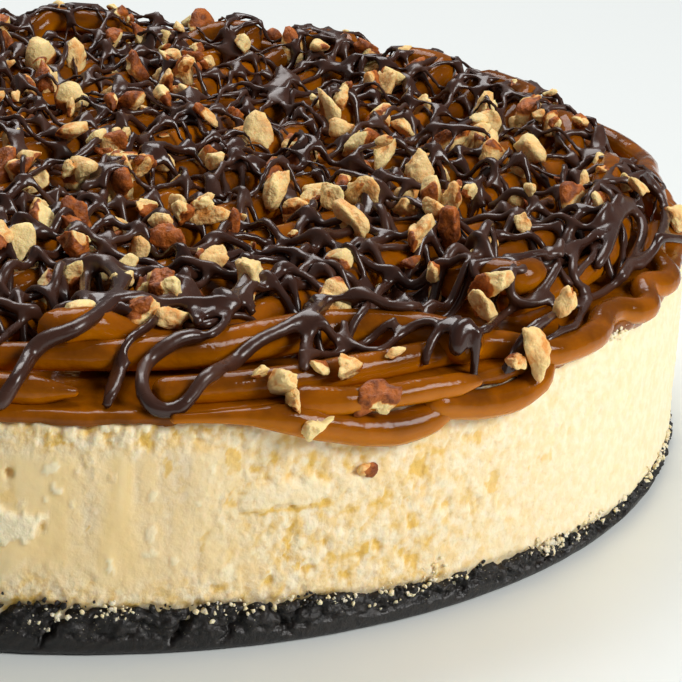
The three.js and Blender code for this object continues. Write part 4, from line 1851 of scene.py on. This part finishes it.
# Nuts that stand out in the photograph: the pixel of each one's middle, its width in millimetres, and
# how much of it is brown skin
SHOWN_NUTS = (
    (350, 368, 5.4, 0.1), (282, 380, 5.4, 0.0), (259, 374, 2.8, 0.3), (305, 418, 7.0, 0.1),
    (322, 433, 5.0, 0.3), (390, 411, 6.0, 1.0), (545, 359, 6.6, 0.0), (531, 369, 3.4, 0.1),
    (322, 365, 3.2, 0.7), (393, 354, 3.2, 0.1), (73, 303, 6.4, 0.3), (137, 300, 6.6, 0.35),
    (156, 274, 5.6, 0.95), (168, 292, 5.0, 0.3), (175, 322, 5.4, 0.0), (75, 277, 4.2, 0.1),
    (40, 211, 6.6, 0.15), (82, 239, 4.6, 0.05), (20, 260, 5.2, 0.2), (144, 206, 5.4, 0.4),
    (160, 219, 4.2, 0.2), (183, 207, 6.0, 0.6), (210, 216, 7.6, 0.05), (276, 187, 6.2, 0.0),
    (284, 204, 5.6, 0.15), (313, 198, 5.2, 0.3), (330, 192, 4.6, 0.0), (170, 243, 6.6, 0.75),
    (218, 257, 5.4, 0.05), (252, 270, 6.4, 0.4), (418, 230, 6.4, 0.1), (445, 231, 6.2, 1.0),
    (438, 208, 5.2, 0.0), (470, 194, 5.4, 0.4), (451, 203, 4.6, 0.05), (523, 221, 3.8, 0.0),
    (432, 273, 3.8, 0.3), (489, 281, 6.4, 0.4), (471, 306, 4.6, 0.05), (528, 146, 7.6, 0.1),
    (487, 118, 5.6, 0.3), (401, 131, 5.0, 0.0), (539, 117, 4.0, 0.0), (599, 113, 4.6, 0.1),
    (420, 174, 6.2, 0.1), (360, 184, 6.4, 0.05), (636, 185, 5.0, 0.0), (498, 153, 6.2, 0.2),
    (676, 219, 5.8, 0.2), (140, 160, 5.0, 0.1), (205, 160, 5.6, 0.8), (112, 104, 5.4, 0.9),
    (255, 137, 6.8, 0.1), (78, 46, 5.2, 0.0), (242, 44, 5.8, 0.1),
)
# A piece stuck in the side of the filling: the pixel of its middle, its width and its share of skin
SIDE_NUT = (369, 470, 4.0, 0.7)
# The picture row below which the pieces lie near the camera, deeper in the drizzle
NEAR_FIELD = 250
# How finely a nut piece is cut: plainly, or finely where it is large and near the camera
PLAIN_CUT = 3
FINE_CUT = 4


@dataclass
class ChoppedPecans:
    """Every pecan piece: a block cut by flat breaks, with skin left on one side."""

    lens: Lens
    terrain: Terrain
    scattered: int = 430
    spread_radius: float = 108.0
    breaks: int = 9
    heaped: float = 0.55
    heap_of: int = 5
    touching: float = 0.0001
    sunk: float = 0.0005
    shells: list[Shell] = field(default_factory=list)

    def __post_init__(self) -> None:
        """Strews the loose pieces on a spiral of golden angles, with a seeded jitter.

        A share of them is moved to a few of the spiral's places instead, where they lie in heaps.
        """
        draw = np.random.default_rng(41)
        number = np.arange(self.scattered)
        radius = self.spread_radius * np.sqrt((number + 0.5) / self.scattered)
        angle = number * math.pi * (3 - math.sqrt(5))
        plan = np.stack([radius * np.cos(angle), radius * np.sin(angle)], -1)
        moved = draw.random(self.scattered) < self.heaped
        heaps = draw.integers(0, self.scattered // self.heap_of, self.scattered) * self.heap_of
        self.plan = plan[np.where(moved, heaps, number)] + draw.normal(0, 2.9, plan.shape)
        self.sizes = 2.3 + 6.7 * draw.beta(1.5, 2.0, self.scattered)
        self.skins = draw.beta(0.8, 1.1, self.scattered)
        self.layers = draw.choice(3, self.scattered, p=[0.3, 0.3, 0.4])
        self.draw = draw

    def chunk(self, size: float, skin: float, level: int) -> Shell:
        """One nut piece about the origin.

        The ball's radius in each direction is the smallest that the flat breaks allow, dulled a
        little at their edges, less two bites. The piece is then roughened by noise of three
        sizes, stretched and turned. Its skin is where the direction is near the skin's side.

        Args:
            size: its width.
            skin: how much skin it shows, from 0 to 1.
            level: how fine its ball is.
        Returns:
            The piece.
        """
        points, faces = ball(level)
        sides = self.draw.normal(size=(self.breaks + 2, 3))
        sides /= np.linalg.norm(sides, axis=1, keepdims=True)
        depth = self.draw.uniform(0.34, 0.92, self.breaks)
        facing = np.maximum(points @ sides[:-2].T, 0.05)
        reach = np.concatenate([depth / facing, np.full((len(points), 1), 1.1)], axis=1)
        radius = np.sum(reach**-16.0, axis=1) ** (-1 / 16.0)
        bites = np.exp(-((np.arccos(np.clip(points @ sides[-2:].T, -1, 1)) / 0.5) ** 2))
        shift = self.draw.uniform(-50, 50, 3)
        rough = layered_noise(points + shift, 0.9, 4, 5, 0.62)
        radius = radius * (1 + 0.42 * rough) - 0.18 * bites.sum(axis=1)
        toward = self.draw.normal(size=3)
        toward /= np.linalg.norm(toward)
        covered = points @ toward + 0.5 * layered_noise(points + shift, 0.8, 3, 8)
        skinned = ease(covered, 0.9 - 1.8 * skin, 1.15 - 1.8 * skin) if skin > 0.02 else 0 * covered
        stretch = np.array([1.25, 0.9, 0.7]) * self.draw.uniform(0.8, 1.2, 3)
        turn, _ = np.linalg.qr(self.draw.normal(size=(3, 3)))
        turn *= np.sign(np.linalg.det(turn))
        body = (points * radius[:, None] * stretch) @ turn.T
        body *= 0.5 * size / np.abs(body[:, :2]).max()
        # Toast: random, and more towards the skin; plus painted shade in the hollows of the roughness
        toast = self.draw.uniform(-0.1, 0.6) + 2.4 * np.maximum(-rough, 0) + 0.7 * ease(covered, -0.1, 0.9)
        return Shell(body, [faces], {"skin": skinned, "toast": np.clip(toast, 0, 1)})

    def place(self, shell: Shell, plan: Array, size: float, perch: Array | None = None) -> None:
        """Sets a piece down, raises the terrain under it and keeps it.

        It comes to rest a little above most of what lies under it, or at the perch given, and
        never above the topping's top or outside the cake's square.

        Args:
            shell: the piece, about the origin.
            plan: x and y of its middle.
            size: its width.
            perch: its middle, if it doesn't rest.
        """
        turns = np.arange(8) * math.pi / 4
        ring = 0.3 * size * np.stack([np.cos(turns), np.sin(turns)], -1)
        under = float(np.percentile(self.terrain.at(plan + np.concatenate([[[0, 0]], ring])), 65))
        centre = np.array([*plan, under + 0.25 * size]) if perch is None else perch
        centre[2] = min(centre[2], TOPPING_TOP - shell.points[:, 2].max())
        room = CAKE_RADIUS + 0.2 - np.abs(shell.points[:, :2]).max(axis=0)
        centre[:2] = np.clip(centre[:2], -room, room)
        self.terrain.press(centre[None], np.array([0.45 * size]), np.array([0.42 * size]))
        self.shells.append(Shell(shell.points + centre, shell.faces, shell.values))

    def land(self, layer: Lay) -> None:
        """Lets the scattered pieces of one layer come to rest, short of where the front's own pieces lie.

        Args:
            layer: which pieces land.
        """
        for index in np.flatnonzero(self.layers == layer.value):
            size, plan = float(self.sizes[index]), self.plan[index]
            inset = -2.0 if layer is Lay.UNDER else 9.0
            if math.hypot(*plan) < float(drizzle_reach(np.arctan2(plan[1:], plan[:1]), inset)[0]):
                near = plan[1] < -38 and layer is not Lay.UNDER
                level = FINE_CUT if near and size > 4.6 else PLAIN_CUT
                self.place(self.chunk(size, float(self.skins[index]), level), plan, size)

    def land_shown(self) -> None:
        """Sets the pieces that stand out where the photograph shows them.

        Each one's middle is on the ray through its pixel, a quarter of its size before what the ray
        meets, and half of it at the rim. Its size is its seen width and the part that is hidden.
        """
        for x, y, width, skin in SHOWN_NUTS:
            size = (1.3 if y > NEAR_FIELD else 1.1) * width
            point = self.terrain.seen(self.lens, np.array([[x, y]]))[0]
            shell = self.chunk(size, skin, FINE_CUT if point[1] < 0 else PLAIN_CUT)
            toward = self.lens.place() - point
            out = 0.24 + 0.28 * float(ease(np.hypot(*point[:2]), CAKE_RADIUS - 6, CAKE_RADIUS - 2))
            centre = point + out * size * toward / np.linalg.norm(toward)
            centre[:2] *= min(1.0, (CAKE_RADIUS + 2.0) / math.hypot(*centre[:2]))
            self.place(shell, centre[:2], size, centre)
        x, y, size, skin = SIDE_NUT
        stuck = self.lens.on_wall(np.array([[x, y]]), CAKE_RADIUS - 0.4)[0]
        self.place(self.chunk(size, skin, PLAIN_CUT), stuck[:2], size, stuck)

    def settle(self, laid: Iterable[Piece]) -> None:
        """Moves each piece that touches nothing to what lies nearest to it.

        The shortest way from some of its points to the surfaces is found, and the piece is moved
        along it and a little further, so that it sinks in.

        Args:
            laid: the finished objects that pieces may lie on.
        """
        graph = bpy.context.evaluated_depsgraph_get()
        trees = [BVHTree.FromObject(piece, graph) for piece in laid]
        for index, shell in enumerate(self.shells):
            points = shell.points[::4] * METRES
            found = [(*tree.find_nearest(Vector(point)), point) for point in points for tree in trees]
            met = [near for near in found if near[0] is not None]
            place, _, _, gap, point = min(met, key=lambda near: near[3])
            if gap > self.touching:
                shift = (np.array(place) - point) * (1 + self.sunk / gap) / METRES
                shift[2] = min(shift[2], TOPPING_TOP - shell.points[:, 2].max())
                self.shells[index] = Shell(shell.points + shift, shell.faces, shell.values)

    def build(self) -> None:
        """Joins and dresses the pieces: the finely cut ones as one object, the others as another."""
        for name, level in (("pecan_pieces_front", FINE_CUT), ("pecan_pieces", PLAIN_CUT)):
            alike = [shell for shell in self.shells if len(shell.points) == len(ball(level)[0])]
            Shell.joined(alike).piece(name, PecanFinish())


@dataclass(frozen=True)
class SoftLight:
    """A square soft light: its place and its side in metres, its power in watts, and its tint."""

    name: str
    place: tuple[float, float, float]
    size: float
    power: float
    tint: tuple[float, float, float]

    def build(self, target: Vector) -> None:
        """Hangs the light.

        Args:
            target: what it faces, in metres.
        """
        data = bpy.data.lights.new(self.name, "AREA")
        data.shape = "SQUARE"
        data.size = self.size
        data.energy = self.power
        data.color = self.tint
        lamp = placed(self.name, data)
        lamp.location = self.place
        lamp.rotation_euler = (target - Vector(self.place)).to_track_quat("-Z", "Y").to_euler()
        log.info("%s light: %.0f W", self.name, self.power)


@dataclass(frozen=True)
class Studio:
    """The pale floor, the soft lights and a faint glow all round."""

    floor_size: float = 6.0
    glow: float = 0.16
    target: tuple[float, float, float] = (0.0, 0.0, 0.03)
    lights: tuple[SoftLight, ...] = (
        SoftLight("key", (0.85, -0.6, 0.7), 0.5, 12.0, (1.0, 0.99, 0.97)),
        SoftLight("top", (-0.1, 0.6, 1.0), 0.8, 11.0, (1.0, 0.99, 0.99)),
    )

    def floor(self) -> None:
        """A plain pale floor at the height that the cake stands on."""
        half = self.floor_size / 2
        mesh = bpy.data.meshes.new("floor")
        corners = [(-half, -half, 0), (half, -half, 0), (half, half, 0), (-half, half, 0)]
        mesh.from_pydata(corners, [], [(0, 1, 2, 3)])
        piece = placed("floor", mesh)
        material = bpy.data.materials.new("floor")
        material.use_nodes = True
        shader = material.node_tree.nodes["Principled BSDF"]
        Finish.fix(shader, Base_Color=colour(235, 240, 239), Roughness=0.35)
        mesh.materials.append(material)

    def build(self) -> None:
        """Makes the floor, the lights and the glow."""
        self.floor()
        for light in self.lights:
            light.build(Vector(self.target))
        world = bpy.data.worlds.new("glow")
        world.use_nodes = True
        Finish.fix(world.node_tree.nodes["Background"], Color=(1.0, 1.0, 1.0, 1.0), Strength=self.glow)
        bpy.context.scene.world = world
        bpy.context.scene.view_settings.view_transform = "Standard"
        log.info("floor and glow")


def main() -> None:
    """Builds the cake from the base up, then the studio round it."""
    lens = Lens()
    lens.build()
    CrumbBase().build()
    CheeseFilling().build()
    LooseCrumbs("black_crumbs", CrumbFinish(), count=900, seed=7).build()
    LooseCrumbs("cheese_crumbs", CheeseFinish(), count=1150, seed=8, rim_share=0.1).build()
    terrain = Terrain()
    CaramelTopping(lens, terrain).build()
    nuts = ChoppedPecans(lens, terrain)
    chocolate = ChocolateDrizzle(lens, terrain)
    # Chocolate along the valleys, partly a dark sheet standing in for their shade
    chocolate.puddles_and_shade(seed=61)
    nuts.land(Lay.UNDER)
    chocolate.passes(LOWER_PASSES)
    chocolate.melt("chocolate_lower_strands", voxels=(0.66, 1.0), shares=(0.5, 0.6))
    nuts.land(Lay.BETWEEN)
    for pixels, radius in SHOWN_STRANDS:
        chocolate.lay_shown(pixels, radius)
    chocolate.passes(UPPER_PASSES)
    chocolate.melt("chocolate_upper_strands", voxels=(0.6, 1.0), shares=(0.5, 0.6))
    nuts.land_shown()
    nuts.land(Lay.OVER)
    carries = ("caramel_ropes", "chocolate_", "cheese_filling_piece")
    nuts.settle(piece for piece in bpy.data.objects if piece.name.startswith(carries))
    nuts.build()
    Studio().build()


if __name__ == "__main__":
    main()
